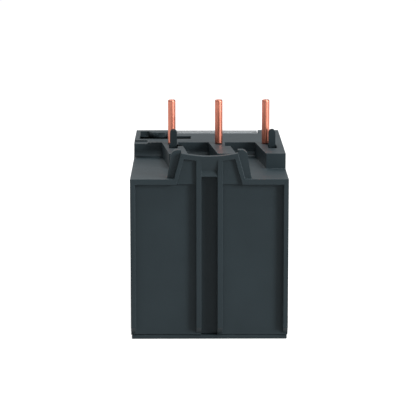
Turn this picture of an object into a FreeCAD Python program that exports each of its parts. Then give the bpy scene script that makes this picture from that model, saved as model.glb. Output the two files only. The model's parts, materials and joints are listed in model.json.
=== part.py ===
import FreeCAD, Part
import math
import os

# Thermal overload relay of the plug-in kind, in millimetres.
# +Z is up and the front with the dial and the terminals faces -Y.
# Depths called "d" are measured forward from the rear face of the frame,
# so a depth d lies at y = REAR_Y - d.  X runs to the right seen from the front.

V = FreeCAD.Vector

# ---------------------------------------------------------------- overall sizes
BODY_WIDTH = 45.0
BODY_DEPTH = 70.0
DECK_Z = 51.4
SHOULDER_Z = DECK_Z - 4.5
REAR_Y = BODY_DEPTH / 2
HALF_WIDTH = BODY_WIDTH / 2

WALL = 1.6
DECK_THICKNESS = 2.0
FLOOR_THICKNESS = 1.2
REAR_HOUSING_DEPTH = BODY_DEPTH - 20.0
HOUSING_SEAM = 0.25
FIT_GAP = 0.1
PRESS_GAP = 0.02

# ---------------------------------------------------------------- modelling allowances
BOND = 0.5
PAST = 1.0
SAME = 0.01

# ---------------------------------------------------------------- snap hooks between the housings
HOOK_Z = (9.0, DECK_Z - 26.4)
HOOK_HALF_HEIGHT = 2.6
HOOK_THICKNESS = 1.1
HOOK_REAR_D = REAR_HOUSING_DEPTH - 6.4
HOOK_NOSE_LENGTH = 2.2
HOOK_NOSE_REACH = 1.2
HOOK_WINDOW_GAP = 0.2

# ---------------------------------------------------------------- rear frame
PANEL_RECESS = 2.0
RIM_WIDTH = 1.4
TOP_RIM_HEIGHT = 1.65
RIB_INNER_X = 2.28
RIB_WIDTH = 1.5
CHANNEL_DEPTH = 3.5
WEB_RECESS = 1.0
LEDGE_TOP_Z = SHOULDER_Z + 2.3
LEDGE_DROP = 1.6
FRAME_FOOT_Z = 3.7
FRAME_FOOT_CHAMFER = 2.0
REAR_WALL = 1.6

# ---------------------------------------------------------------- rear hook tab
TAB_TOP_Z = SHOULDER_Z + 8.1
TAB_FRAME_TOP_Z = TAB_TOP_Z - 0.7
TAB_SAG = 0.9
TAB_SAG_STEPS = 4
TAB_BACK_DIP_Z = TAB_TOP_Z - 2.5
TAB_FRAME_DEPTH = 1.6
TAB_DEPTH = 4.4
TAB_FRAME_HALF_BASE = 10.2
TAB_FRAME_HALF_TOP = 8.05
TAB_BACK_HALF_BASE = 12.1
TAB_BACK_HALF_TOP = 10.6
TAB_BACK_CORNER = 1.8
TAB_POCKET_DEPTH = 1.0
TAB_STRIP_HEIGHT = 1.7
TAB_BAR_WIDTH = 1.3

# ---------------------------------------------------------------- fingers of the deck
FINGER_ROOT_D = 41.8
FINGER_STEP_D = 34.0
FINGER_NOSE_D = 18.8
FINGER_LEFT_ROOT = -3.05
FINGER_LEFT_NOSE = -0.6
FINGER_RIGHT_ROOT = 1.85
FINGER_STEP = 1.6
FINGER_RIGHT_NOSE = 4.9
SHOULDER_FILLET = 2.3

# ---------------------------------------------------------------- copper pins
POLE_PITCH = (BODY_WIDTH - 2.49) / 3
PIN_SHIFT = 3.17
PIN_RADIUS = 1.15
PIN_D = 39.0
PIN_TOP_Z = DECK_Z + 13.4
PIN_STEM_RADIUS = 0.8
PIN_SEAT_GAP = 0.02
PIN_FOOT_Z = 12.0
PIN_BORE_CLEARANCE = 0.1
PIN_TIP_CHAMFER = 0.25

PEG_WIDTH = 2.1
PEG_THICKNESS = 1.8
PEG_D = 36.1
PEG_TOP_Z = DECK_Z + 4.8
PEG_OFFSETS = (-0.54, -1.8)
PEG_SLOT_WIDTH = 2.5
PEG_SLOT_NEAR_D = 29.4
CARRIER_THICKNESS = 2.6
CARRIER_GAP = 0.1
CARRIER_BORE_GAP = 0.03
CARRIER_D = (29.8, 42.0)

# ---------------------------------------------------------------- accessory slot in the deck
SLOT_X = (5.3, HALF_WIDTH - 1.5)
SLOT_D = (BODY_DEPTH - 20.8, BODY_DEPTH - 15.2)
SLOT_RIM_HEIGHT = 1.5
SLOT_RIM_THICKNESS = 1.0
SLOT_RIM_SLANT = 0.6
SLOT_POCKET_DEPTH = 1.4
SLOT_UNDERCUT = 3.0
SLOT_LIP = 0.35
SCALLOP_X = 14.75
SCALLOP_D = SLOT_D[1] + 0.8
SCALLOP_RADIUS = 3.5
NOTCH_DEPTH = 0.45
NOTCH_WIDTH = 4.0
NOTCH_LENGTH = 4.5

# ---------------------------------------------------------------- front housing tiers
POWER_TIER_D = BODY_DEPTH - 12.0
POWER_TIER_Z = DECK_Z / 2 - 8.7
AUX_TIER_D = BODY_DEPTH - 5.5
AUX_TIER_Z = DECK_Z - 22.4
UPPER_FACE_D = BODY_DEPTH - 1.4
UPPER_WALL = 1.8
TIER_WALL = 1.3
UPPER_TOP_GAP = 0.2

# ---------------------------------------------------------------- power terminals
POWER_SCREW_Z = POWER_TIER_Z - 7.5
POWER_PLATE_D = POWER_TIER_D - 7.1
POWER_PLATE_THICKNESS = 1.0
POWER_POCKET_HALF = 5.3
POWER_POCKET_TOP_Z = POWER_TIER_Z - 1.6
POWER_WASHER_D = POWER_PLATE_D + 2.7
POWER_WASHER_SIZE = 8.0
POWER_WASHER_THICKNESS = 1.1
POWER_HEAD_RADIUS = 3.6
POWER_HEAD_HEIGHT = 2.0
POWER_SHANK_RADIUS = 2.0
POWER_SHANK_TAIL = 0.6
POWER_HOLE_RADIUS = 4.1
SHANK_GAP = 0.2
POWER_PLATE_INSET = 0.7
HEAD_SLOT_HALF = 0.5
HEAD_SLOT_DEPTH = 0.9

# ---------------------------------------------------------------- auxiliary terminals
AUX_X = (6.0 - HALF_WIDTH, -5.5, 5.5, HALF_WIDTH - 6.0)
AUX_SCREW_Z = AUX_TIER_Z - 5.6
AUX_PLATE_D = AUX_TIER_D - 6.8
AUX_PLATE_THICKNESS = 0.9
AUX_POCKET_HALF = 3.9
AUX_WASHER_D = AUX_PLATE_D + 2.5
AUX_WASHER_SIZE = 6.2
AUX_WASHER_THICKNESS = 0.9
AUX_HEAD_RADIUS = 2.7
AUX_HEAD_HEIGHT = 1.5
AUX_SHANK_RADIUS = 1.5
AUX_SHANK_TAIL = 2.1
AUX_HOLE_RADIUS = 3.1
AUX_PLATE_INSET = 1.0
AUX_PLATE_FOOT_Z = AUX_SCREW_Z - 3.6
WASHER_HOLE_GAP = 0.1

# ---------------------------------------------------------------- bimetals and heaters
BIMETAL_D = 25.0
BIMETAL_WIDTH = 5.0
BIMETAL_THICKNESS = 0.9
BIMETAL_FOOT_Z = 6.4
BIMETAL_TOP_Z = DECK_Z - 12.5
CLIP_GAP = 0.12
CLIP_WALL = 1.0
CLIP_TOP_Z = 9.8
CLIP_HALF_DEPTH = 2.4
BAR_Z = (3.8, 4.8)
BAR_WIDTH = 5.0
BAR_SEAT_GAP = 0.05
HEATER_Z = (13.0, BIMETAL_TOP_Z - 7.9)
HEATER_TURNS = 9
HEATER_STRIP_HEIGHT = 1.2
HEATER_STRIP_THICKNESS = 0.6
RISER_SHIFT = 0.8
RISER_HALF = 0.5
SLEEVE_GAP = 0.05
SLEEVE_THICKNESS = 0.35
SLEEVE_OVERHANG = 0.6
LEAD_GAP = 0.3
LEAD_THICKNESS = 0.5
LEAD_Z = (HEATER_Z[0], HEATER_Z[0] + 3.0)
PARTITION_THICKNESS = 1.0
PARTITION_FRONT_D = REAR_HOUSING_DEPTH - 6.0

# ---------------------------------------------------------------- trip slides
PUSH_Z = (DECK_Z - 15.0, DECK_Z - 12.5)
RETURN_Z = (PUSH_Z[0] - 2.8, PUSH_Z[0] - 0.3)
SLIDE_D = (28.6, 30.2)
SLIDE_HALF_LENGTH = POLE_PITCH + 2.23
SLIDE_WINDOW_GAP = 0.2
FINGER_THICKNESS = 1.2
FINGER_GAP = 0.35
FINGER_REAR_D = 23.0
ARM_X = HALF_WIDTH - 7.8
ARM_WIDTH = 1.5
ARM_FRONT_D = BODY_DEPTH - 23.4
PIVOT_STUD_RADIUS = 0.6
PIVOT_STUD_LENGTH = 1.4
DIFF_LEVER_D = (ARM_FRONT_D + 0.2, ARM_FRONT_D + 1.2)
DIFF_LEVER_WIDTH = 2.6
DIFF_TIP_WIDTH = 1.4
DIFF_LEVER_Z = (RETURN_Z[0] + 0.3, PUSH_Z[1] + 1.6)
DIFF_LEVER_CHAMFER = 0.6
DIFF_SLOT_DROP = 0.25
STUD_GAP = 0.08

# ---------------------------------------------------------------- trip lever
TRIP_PIVOT_X = HALF_WIDTH - 4.8
TRIP_PIVOT_D = BODY_DEPTH - 17.6
TRIP_Z = (PUSH_Z[0] + 0.6, PUSH_Z[1] + 1.5)
TRIP_HUB_RADIUS = 2.1
TRIP_PIN_RADIUS = 0.75
TRIP_PIN_TOP_Z = TRIP_Z[1] + 1.6
TRIP_BORE_GAP = 0.06
TRIP_ARM_HALF = 0.6
TRIP_REAR_D = ARM_FRONT_D
TRIP_FRONT_D = TRIP_PIVOT_D + 5.8
COMPENSATOR_THICKNESS = 0.4
COMPENSATOR_END_GAP = 0.2
COMPENSATOR_Z = (TRIP_Z[0] + 0.9, TRIP_Z[1] - 0.3)

# ---------------------------------------------------------------- mechanism chassis
CHASSIS_Z = (TRIP_Z[0] - 1.4, TRIP_Z[0] - 0.2)
CHASSIS_D = (TRIP_PIVOT_D - 3.5, TRIP_PIVOT_D + 8.0)
CHASSIS_HALF = HALF_WIDTH - 1.9
CHASSIS_WALL_TOP_Z = DECK_Z - 5.0
CHASSIS_WALL = 1.0
STEM_HOLE_GAP = 0.2
CHASSIS_WINDOW_GAP = 0.3
CHASSIS_WINDOW_INNER = 4.3
RAIL_WIDTH = 1.6
RAIL_HEIGHT = 1.1

# ---------------------------------------------------------------- contacts
BLADE_X = 5.5
BLADE_THICKNESS = 0.4
BLADE_D = (TRIP_PIVOT_D + 0.1, TRIP_PIVOT_D + 3.1)
CONTACT_Z = DECK_Z - 8.9
BLADE_Z = (AUX_TIER_Z - 0.7, CONTACT_Z + 1.7)
CONTACT_RADIUS = 1.1
RIVET_HEIGHT = 0.7
FIXED_RIVET_HEIGHT = 1.5
CLOSED_GAP = 0.05
OPEN_GAP = 1.6
FIXED_THICKNESS = 0.6
FIXED_FOOT_GAP = 0.15
COMMON_TAB_TOP_Z = AUX_TIER_Z + 2.5
TERMINAL_STRIP_Z = (AUX_TIER_Z - 2.0, AUX_TIER_Z - 1.2)
TERMINAL_STRIP_HALF = 1.5
SLIDER_Z = (TRIP_Z[0], TRIP_Z[0] + 2.5)
SLIDER_D = (TRIP_FRONT_D - 2.0, TRIP_FRONT_D - 0.2)
SLIDER_X = (-BLADE_X - 1.1, TRIP_PIVOT_X - 1.0)
SLIDER_FINGER_GAP = 0.25
SLIDER_FINGER_WIDTH = 1.1
SLIDER_FINGER_REAR_D = BLADE_D[0] + 0.4

# ---------------------------------------------------------------- controls
STOP_X = HALF_WIDTH - 5.9
DIAL_X = STOP_X - (BODY_WIDTH - 4.8) / 3
RESET_X = DIAL_X - (BODY_WIDTH - 3.9) / 3
BUTTON_Z = DECK_Z - 9.2
RESET_RADIUS = 3.5
STOP_RADIUS = 3.7
BUTTON_GAP = 0.2
BUTTON_TOP_D = UPPER_FACE_D + 1.3
FLANGE_RADIUS_EXTRA = 0.6
FLANGE_THICKNESS = 1.1
FLANGE_GAP = 0.1
STOP_EDGE_CHAMFER = 0.4
RESET_EDGE_CHAMFER = 0.3
RESET_SLOT_HALF = 0.6
RESET_SLOT_DEPTH = 0.8
RESET_NECK_LENGTH = 1.5
RESET_NECK_GAP = 0.06
STEM_RADIUS = 1.5
STEM_END_D = BODY_DEPTH - 11.0
SPRING_WIRE_RADIUS = 0.28
SPRING_RADIUS = 2.4
SPRING_TURNS = 4
SPRING_STEPS = 10
SPRING_CORNERS = 6
SPRING_END_GAP = 0.08

DIAL_Z = BUTTON_Z - 2.2
DIAL_RADIUS = 5.7
DIAL_GAP = 0.2
DIAL_FACE_D = UPPER_FACE_D - 0.4
DIAL_THICKNESS = 2.6
DIAL_BOSS_WALL = 1.4
DIAL_SHAFT_RADIUS = 2.0
DIAL_SLOT_WIDTH = 1.2
DIAL_SLOT_DEPTH = 1.2
DIAL_SLOT_HALF_LENGTH = 4.2
DIAL_BOSS_RIM = 1.1
CAM_D = (BODY_DEPTH - 8.0, BODY_DEPTH - 6.6)
CAM_RADIUS = 3.0
CAM_RISE = 0.6
CAM_TURN = 135.0
CAM_SPIRAL_HALF = 150.0
CAM_STEPS = 24

SETTING_BAR_D = (CHASSIS_D[1] + FIT_GAP, CHASSIS_D[1] + FIT_GAP + 1.2)
SETTING_BAR_Z = (CHASSIS_Z[1] + FIT_GAP, CHASSIS_Z[1] + FIT_GAP + 1.5)
SETTING_EAR_THICKNESS = 1.3
SETTING_EAR_TOP_Z = DIAL_Z + 1.6
SETTING_CAM_GAP = 0.06
SETTING_FINGER_X = (TRIP_PIVOT_X + 1.3, TRIP_PIVOT_X + 2.3)
SETTING_FINGER_REAR_D = TRIP_FRONT_D - 1.0
GUIDE_X = (DIAL_X + 5.4, DIAL_X + 12.4)
GUIDE_THICKNESS = 0.7
GUIDE_LIP = 0.5

TEST_X = STOP_X
TEST_Z = BUTTON_Z - 8.6
TEST_TRAVEL = 1.5
TEST_LUG = 2.6
TEST_HEIGHT = 2.2
TEST_GAP = 0.2
TEST_PROUD = 0.5
TEST_PLATE_THICKNESS = 1.0
TEST_PLATE_HALF_WIDTH = 3.6
TEST_PLATE_HALF_HEIGHT = 1.9
TEST_GUIDE_REACH = 5.4
TEST_GUIDE_THICKNESS = 0.8
TEST_GUIDE_LIP = 0.7

# ---------------------------------------------------------------- hinged clear cover
COVER_X = (RESET_X - 5.2, STOP_X - STOP_RADIUS - 2.1)
COVER_GAP = 0.25
COVER_THICKNESS = 1.2
COVER_FOOT_Z = AUX_TIER_Z + 2.6
COVER_PIVOT_D = BODY_DEPTH - 6.6
COVER_REAR_D = COVER_PIVOT_D - 1.2
COVER_PIVOT_Z = DECK_Z - 1.4
COVER_PIN_RADIUS = 0.7
COVER_PIN_LENGTH = 1.4
COVER_PIN_GAP = 0.08
COVER_EAR_THICKNESS = 1.6
COVER_EAR_HALF_DEPTH = 1.0
COVER_EAR_DROP = 0.9
COVER_CORNER = 2.6
RESET_WINDOW_HALF = 4.2
DECK_FRONT_D = BODY_DEPTH - 3.6
DECK_CUT_D = COVER_REAR_D - 0.8
HINGE_BOSS_WIDTH = 3.0
HINGE_BOSS_Z = COVER_PIVOT_Z - 1.6
HINGE_POCKET_GAP = 0.15
TROUGH_Z = HINGE_BOSS_Z - 0.5
ROOF_THICKNESS = 1.2
CAVITY_FLOOR = 1.5
STRIP_CHANNEL_GAP = 0.2

POLES = ("left", "middle", "right")
POLE_X = (-POLE_PITCH, 0.0, POLE_PITCH)
PIN_X = tuple(x - PIN_SHIFT for x in POLE_X)


# ---------------------------------------------------------------- shape helpers
def block(x, d, z):
    """Box from pairs: x range, depth range behind the rear face, z range."""
    corner = V(x[0], REAR_Y - d[1], z[0])
    return Part.makeBox(x[1] - x[0], d[1] - d[0], z[1] - z[0], corner)


def rod_y(x, z, radius, d):
    """Round rod whose axis runs front to back."""
    return Part.makeCylinder(radius, d[1] - d[0], V(x, REAR_Y - d[1], z), V(0, 1, 0))


def rod_z(x, d, radius, z):
    """Upright round rod."""
    return Part.makeCylinder(radius, z[1] - z[0], V(x, REAR_Y - d, z[0]), V(0, 0, 1))


def rod_x(d, z, radius, x):
    """Round rod whose axis runs side to side."""
    return Part.makeCylinder(radius, x[1] - x[0], V(x[0], REAR_Y - d, z), V(1, 0, 0))


def face_of(points):
    return Part.Face(Part.makePolygon(points + [points[0]]))


def plan_prism(points, z):
    """Outline given as (x, d) pairs, raised from z[0] to z[1]."""
    outline = [V(x, REAR_Y - d, z[0]) for x, d in points]
    return face_of(outline).extrude(V(0, 0, z[1] - z[0]))


def front_prism(points, d):
    """Outline given as (x, z) pairs, carried from depth d[0] to d[1]."""
    outline = [V(x, REAR_Y - d[0], z) for x, z in points]
    return face_of(outline).extrude(V(0, d[0] - d[1], 0))


def side_prism(points, x):
    """Outline given as (d, z) pairs, carried from x[0] to x[1]."""
    outline = [V(x[0], REAR_Y - d, z) for d, z in points]
    return face_of(outline).extrude(V(x[1] - x[0], 0, 0))


def fuse(shapes):
    solid = shapes[0].fuse(shapes[1:]) if len(shapes) > 1 else shapes[0]
    return solid.removeSplitter()


def centred(middle, half):
    return (middle - half, middle + half)


def mirrored_x(shape):
    return shape.mirror(V(0, 0, 0), V(1, 0, 0))


def save(name, shape):
    shape.exportStep(os.path.join("parts", name + ".step"))


# ---------------------------------------------------------------- rear housing
def rear_relief():
    """Recessed panels, ribs, channel and chamfered foot of the rear frame."""
    inner = HALF_WIDTH - RIM_WIDTH
    rib_outer = RIB_INNER_X + RIB_WIDTH
    top = SHOULDER_Z - TOP_RIM_HEIGHT
    panel = block((rib_outer, inner), (0, PANEL_RECESS), (0, top))
    ledge_foot = LEDGE_TOP_Z - LEDGE_DROP
    channel = block((-RIB_INNER_X, RIB_INNER_X), (0, CHANNEL_DEPTH), (0, ledge_foot))
    web = [(0, ledge_foot), (WEB_RECESS, LEDGE_TOP_Z), (0, TAB_FRAME_TOP_Z - TAB_STRIP_HEIGHT)]
    web_cut = side_prism(web, (-RIB_INNER_X, RIB_INNER_X))
    foot = [(0, 0), (PANEL_RECESS, 0), (PANEL_RECESS, FRAME_FOOT_Z - FRAME_FOOT_CHAMFER), (0, FRAME_FOOT_Z)]
    foot_cut = side_prism(foot, (-HALF_WIDTH, HALF_WIDTH))
    return [panel, mirrored_x(panel), channel, web_cut, foot_cut]


def hook_tab():
    """Trapezoid hook tab: a framed front layer over a wider rounded back layer."""
    base = SHOULDER_Z - BOND
    back = [(-TAB_BACK_HALF_BASE, base), (TAB_BACK_HALF_BASE, base),
            (TAB_BACK_HALF_TOP, TAB_TOP_Z), (-TAB_BACK_HALF_TOP, TAB_TOP_Z)]
    back_layer = front_prism(back, (TAB_FRAME_DEPTH, TAB_DEPTH))
    corners = [e for e in back_layer.Edges if is_tab_corner(e)]
    back_layer = back_layer.makeFillet(TAB_BACK_CORNER, corners)
    dip = block(centred(0, TAB_FRAME_HALF_TOP), (0, TAB_DEPTH + PAST), (TAB_BACK_DIP_Z, TAB_TOP_Z + PAST))
    front = [(-TAB_FRAME_HALF_BASE, base), (TAB_FRAME_HALF_BASE, base)]
    front += sagging_edge(TAB_FRAME_HALF_TOP, TAB_FRAME_TOP_Z)
    return [back_layer.cut(dip), front_prism(front, (0, TAB_FRAME_DEPTH + BOND))]


def sagging_edge(half, z):
    """Points from right to left along an edge that sags in the middle."""
    steps = [1 - i / TAB_SAG_STEPS for i in range(2 * TAB_SAG_STEPS + 1)]
    return [(half * s, z - TAB_SAG * (1 - s * s)) for s in steps]


def is_tab_corner(edge):
    along_y = abs(edge.tangentAt(edge.FirstParameter).y) > 1 - SAME
    return along_y and edge.CenterOfMass.z > TAB_TOP_Z - SAME


def tab_pockets():
    """Two shallow pockets in the tab that open into the panels below."""
    rib_outer = RIB_INNER_X + RIB_WIDTH
    slope = (TAB_FRAME_HALF_BASE - TAB_FRAME_HALF_TOP) / (TAB_FRAME_TOP_Z - SHOULDER_Z)
    top = TAB_FRAME_TOP_Z - TAB_STRIP_HEIGHT
    low = SHOULDER_Z - TOP_RIM_HEIGHT
    outer_top = TAB_FRAME_HALF_TOP + slope * TAB_STRIP_HEIGHT - TAB_BAR_WIDTH
    outer_low = TAB_FRAME_HALF_BASE + slope * TOP_RIM_HEIGHT - TAB_BAR_WIDTH
    outline = [(rib_outer, low), (outer_low, low), (outer_top, top), (rib_outer, top - TAB_SAG / 2)]
    pocket = front_prism(outline, (0, TAB_POCKET_DEPTH))
    return [pocket, mirrored_x(pocket)]


def finger_outline(pole_x):
    """Plan of one deck finger, from the deck to its nose; seen from the front."""
    inner = pole_x - PIN_SHIFT
    return [(inner - FINGER_LEFT_ROOT, FINGER_ROOT_D + PAST), (inner - FINGER_LEFT_ROOT, FINGER_ROOT_D),
            (inner - FINGER_LEFT_NOSE, FINGER_NOSE_D), (inner - FINGER_RIGHT_NOSE, FINGER_NOSE_D),
            (inner - FINGER_RIGHT_ROOT - FINGER_STEP, FINGER_STEP_D),
            (inner - FINGER_RIGHT_ROOT, FINGER_STEP_D), (inner - FINGER_RIGHT_ROOT, FINGER_ROOT_D + PAST)]


def shoulder_cut():
    """Space above the shoulder, all that is left of the upper deck by the fingers."""
    beside = HALF_WIDTH + PAST
    lowered = block((-beside, beside), (-PAST, FINGER_ROOT_D), (SHOULDER_Z, DECK_Z + PAST))
    wall_foot = edges_at(lowered, FINGER_ROOT_D, SHOULDER_Z)
    lowered = lowered.makeFillet(SHOULDER_FILLET, wall_foot)
    upright = (SHOULDER_Z - PAST, DECK_Z + 2 * PAST)
    fingers = [plan_prism(finger_outline(x), upright) for x in POLE_X[1:]]
    side = finger_outline(POLE_X[0])
    far = -beside - PAST
    outer = [side[0], side[1], side[2], (far, FINGER_NOSE_D), (far, FINGER_ROOT_D + PAST)]
    fingers.append(plan_prism(outer, upright))
    return lowered.cut(fingers)


def rear_cavity():
    """Heater chambers, the space in front of them and the space under the deck."""
    inner = HALF_WIDTH - WALL
    rear_d = CHANNEL_DEPTH + REAR_WALL
    roof = SHOULDER_Z - DECK_THICKNESS
    chamber = block((-inner, inner), (rear_d, DECK_FRONT_D + PAST), (-PAST, roof))
    upper = block((-inner, inner), (FINGER_ROOT_D + DECK_THICKNESS, DECK_FRONT_D + PAST),
                  (roof - PAST, DECK_Z - DECK_THICKNESS))
    return chamber.fuse(upper)


def partitions():
    """Two walls between the three heater chambers, with windows for the slides."""
    rear_d = CHANNEL_DEPTH + REAR_WALL - BOND
    walls = []
    for x in (-POLE_PITCH / 2, POLE_PITCH / 2):
        wall_z = (FLOOR_THICKNESS + 2 * FIT_GAP, SHOULDER_Z - DECK_THICKNESS + BOND)
        wall = block(centred(x, PARTITION_THICKNESS / 2), (rear_d, PARTITION_FRONT_D), wall_z)
        window_d = (SLIDE_D[0] - SLIDE_WINDOW_GAP, SLIDE_D[1] + SLIDE_WINDOW_GAP)
        window_z = (RETURN_Z[0] - SLIDE_WINDOW_GAP, PUSH_Z[1] + SLIDE_WINDOW_GAP)
        carrier_d = (CARRIER_D[0] - CARRIER_GAP, CARRIER_D[1] + CARRIER_GAP)
        notch_z = (carrier_z()[0] - CARRIER_GAP, carrier_z()[1] + CARRIER_GAP)
        through = centred(x, PARTITION_THICKNESS)
        walls.append(wall.cut([block(through, window_d, window_z), block(through, carrier_d, notch_z)]))
    return walls


def hinge_bosses():
    """Bosses under the deck that take the pins of the clear cover."""
    d = (COVER_REAR_D, DECK_FRONT_D)
    z = (HINGE_BOSS_Z, DECK_Z - BOND)
    left_edge = COVER_X[0] - COVER_GAP
    right_edge = COVER_X[1] + COVER_GAP
    return [block((left_edge - HINGE_BOSS_WIDTH, left_edge), d, z),
            block((right_edge, right_edge + HINGE_BOSS_WIDTH), d, z)]


def slot_rim():
    """Thin wavy wall behind the accessory slot, with one scallop towards the rear."""
    rear = SLOT_D[1]
    front = rear + SLOT_RIM_THICKNESS
    right = HALF_WIDTH - WALL
    left = COVER_X[1] - COVER_GAP
    z = (DECK_Z - BOND, DECK_Z + SLOT_RIM_HEIGHT)
    cut_z = (DECK_Z - PAST, z[1] + PAST)
    plan = [(left, rear + SLOT_RIM_SLANT), (left, front + SLOT_RIM_SLANT), (right, front), (right, rear)]
    hollow = rod_z(SCALLOP_X, SCALLOP_D, SCALLOP_RADIUS - SLOT_RIM_THICKNESS, cut_z)
    scallop = rod_z(SCALLOP_X, SCALLOP_D, SCALLOP_RADIUS, z)
    scallop = scallop.common(block((left, right), (SCALLOP_D - SCALLOP_RADIUS, front), cut_z))
    return plan_prism(plan, z).fuse(scallop).cut(hollow)


def deck_cuts():
    """Bores for the pins, slots for the pegs, the accessory slot and the side notch."""
    above = DECK_Z + PAST
    below = carrier_z()[0]
    cuts = []
    for x in PIN_X:
        cuts.append(rod_z(x, PIN_D, PIN_RADIUS + PIN_BORE_CLEARANCE, (below, above)))
    peg_front_d = PEG_D + PEG_THICKNESS / 2 + PIN_BORE_CLEARANCE
    for x in peg_centres():
        cuts.append(block(centred(x, PEG_SLOT_WIDTH / 2), (PEG_SLOT_NEAR_D, peg_front_d), (below, above)))
    slot_floor = DECK_Z - SLOT_POCKET_DEPTH
    cuts.append(block(SLOT_X, SLOT_D, (slot_floor, DECK_Z)))
    undercut_d = (SLOT_D[1] - PAST, SLOT_D[1] + SLOT_UNDERCUT)
    cuts.append(block(SLOT_X, undercut_d, (slot_floor, DECK_Z - SLOT_LIP)))
    notch_x = (HALF_WIDTH - NOTCH_WIDTH, HALF_WIDTH + PAST)
    notch_d = (FINGER_ROOT_D - PAST, FINGER_ROOT_D + NOTCH_LENGTH)
    cuts.append(block(notch_x, notch_d, (DECK_Z - NOTCH_DEPTH, above)))
    return cuts


def hinge_bore():
    reach = COVER_GAP + COVER_PIN_LENGTH + COVER_PIN_GAP
    return rod_x(COVER_PIVOT_D, COVER_PIVOT_Z, COVER_PIN_RADIUS + COVER_PIN_GAP,
                 (COVER_X[0] - reach, COVER_X[1] + reach))


def hook_windows():
    """Windows in the side walls that the snap hooks of the front housing catch."""
    d = (HOOK_REAR_D - HOOK_WINDOW_GAP, HOOK_REAR_D + HOOK_NOSE_LENGTH + HOOK_WINDOW_GAP)
    across = (HALF_WIDTH - WALL - PAST, HALF_WIDTH + PAST)
    windows = []
    for z in HOOK_Z:
        window = block(across, d, centred(z, HOOK_HALF_HEIGHT + HOOK_WINDOW_GAP))
        windows += [window, mirrored_x(window)]
    return windows


def make_rear_housing():
    outer = block((-HALF_WIDTH, HALF_WIDTH), (0, REAR_HOUSING_DEPTH), (FLOOR_THICKNESS, DECK_Z))
    deck = block((-HALF_WIDTH, HALF_WIDTH), (REAR_HOUSING_DEPTH - PAST, DECK_FRONT_D),
                 (DECK_Z - DECK_THICKNESS, DECK_Z))
    body = outer.fuse(deck)
    cover_cut = block((COVER_X[0] - COVER_GAP, COVER_X[1] + COVER_GAP), (DECK_CUT_D, BODY_DEPTH),
                      (DECK_Z - DECK_THICKNESS - PAST, DECK_Z + PAST))
    body = body.cut([shoulder_cut(), rear_cavity(), cover_cut])
    body = body.fuse(partitions() + hinge_bosses() + hook_tab() + [slot_rim()])
    cuts = rear_relief() + tab_pockets() + deck_cuts() + hook_windows() + [hinge_bore()]
    return body.cut(cuts).removeSplitter()


def peg_centres():
    return (PIN_X[2] + PEG_OFFSETS[0], PIN_X[0] + PEG_OFFSETS[1])


# ---------------------------------------------------------------- bottom plate
def make_bottom_plate():
    """Floor that closes the rear housing, with a raised locating frame inside."""
    side = HALF_WIDTH - 2 * FIT_GAP
    plate_d = (PANEL_RECESS - FIT_GAP, REAR_HOUSING_DEPTH)
    plate = block((-side, side), plate_d, (0, FLOOR_THICKNESS - FIT_GAP))
    inner = HALF_WIDTH - WALL - FIT_GAP
    frame_d = (CHANNEL_DEPTH + REAR_WALL + FIT_GAP, REAR_HOUSING_DEPTH - FIT_GAP)
    foot_z = FLOOR_THICKNESS - BOND
    frame = block((-inner, inner), frame_d, (foot_z, FLOOR_THICKNESS + FIT_GAP))
    pieces = [plate, frame]
    for x in POLE_X:
        pieces.append(block(centred(x, BAR_WIDTH / 2), centred(BIMETAL_D, CLIP_HALF_DEPTH),
                            (foot_z, BAR_Z[0] - BAR_SEAT_GAP)))
    return fuse(pieces)


# ---------------------------------------------------------------- pins and carrier
def make_pin(x):
    seat_z = DECK_Z + PIN_SEAT_GAP
    pin = rod_z(x, PIN_D, PIN_RADIUS, (seat_z, PIN_TOP_Z))
    tip = [e for e in pin.Edges if e.CenterOfMass.z > PIN_TOP_Z - SAME]
    pin = pin.makeChamfer(PIN_TIP_CHAMFER, tip)
    return pin.fuse(rod_z(x, PIN_D, PIN_STEM_RADIUS, (PIN_FOOT_Z, seat_z)))


def carrier_z():
    top = SHOULDER_Z - DECK_THICKNESS - CARRIER_GAP
    return (top - CARRIER_THICKNESS, top)


def make_pin_carrier():
    """Inner moulding under the deck that holds the pins and bears the two pegs."""
    z = carrier_z()
    top = z[1]
    half = HALF_WIDTH - WALL - CARRIER_GAP
    plate = block((-half, half), CARRIER_D, z)
    pegs = [make_peg(x, top) for x in peg_centres()]
    body = fuse([plate] + pegs)
    bores = [rod_z(x, PIN_D, PIN_STEM_RADIUS + CARRIER_BORE_GAP, (z[0] - PAST, top + PAST)) for x in PIN_X]
    return body.cut(bores)


def make_peg(x, foot_z):
    half = PEG_WIDTH / 2
    shaft = block(centred(x, half), centred(PEG_D, PEG_THICKNESS / 2), (foot_z - BOND, PEG_TOP_Z - half))
    crown = rod_y(x, PEG_TOP_Z - half, half, centred(PEG_D, PEG_THICKNESS / 2))
    return shaft.fuse(crown)


# ---------------------------------------------------------------- power path
def make_outlet_bar(x):
    """Copper bar from the bimetal clip to the tapped terminal plate."""
    plate_d = (POWER_PLATE_D, POWER_PLATE_D + POWER_PLATE_THICKNESS)
    strip = block(centred(x, BAR_WIDTH / 2), (BIMETAL_D - CLIP_HALF_DEPTH, plate_d[1]), BAR_Z)
    plate = block(centred(x, POWER_POCKET_HALF - POWER_PLATE_INSET), plate_d,
                  (BAR_Z[0], POWER_POCKET_TOP_Z - POWER_PLATE_INSET))
    inner = BIMETAL_THICKNESS / 2 + CLIP_GAP
    outer = inner + CLIP_WALL
    cheek_d = centred(BIMETAL_D, CLIP_HALF_DEPTH)
    cheek_z = (BAR_Z[0], CLIP_TOP_Z)
    cheeks = [block((x + inner, x + outer), cheek_d, cheek_z),
              block((x - outer, x - inner), cheek_d, cheek_z)]
    hole_d = (plate_d[0] - PAST, plate_d[1] + PAST)
    hole = rod_y(x, POWER_SCREW_Z, POWER_SHANK_RADIUS + PRESS_GAP, hole_d)
    return fuse([strip, plate] + cheeks).cut(hole)


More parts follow.
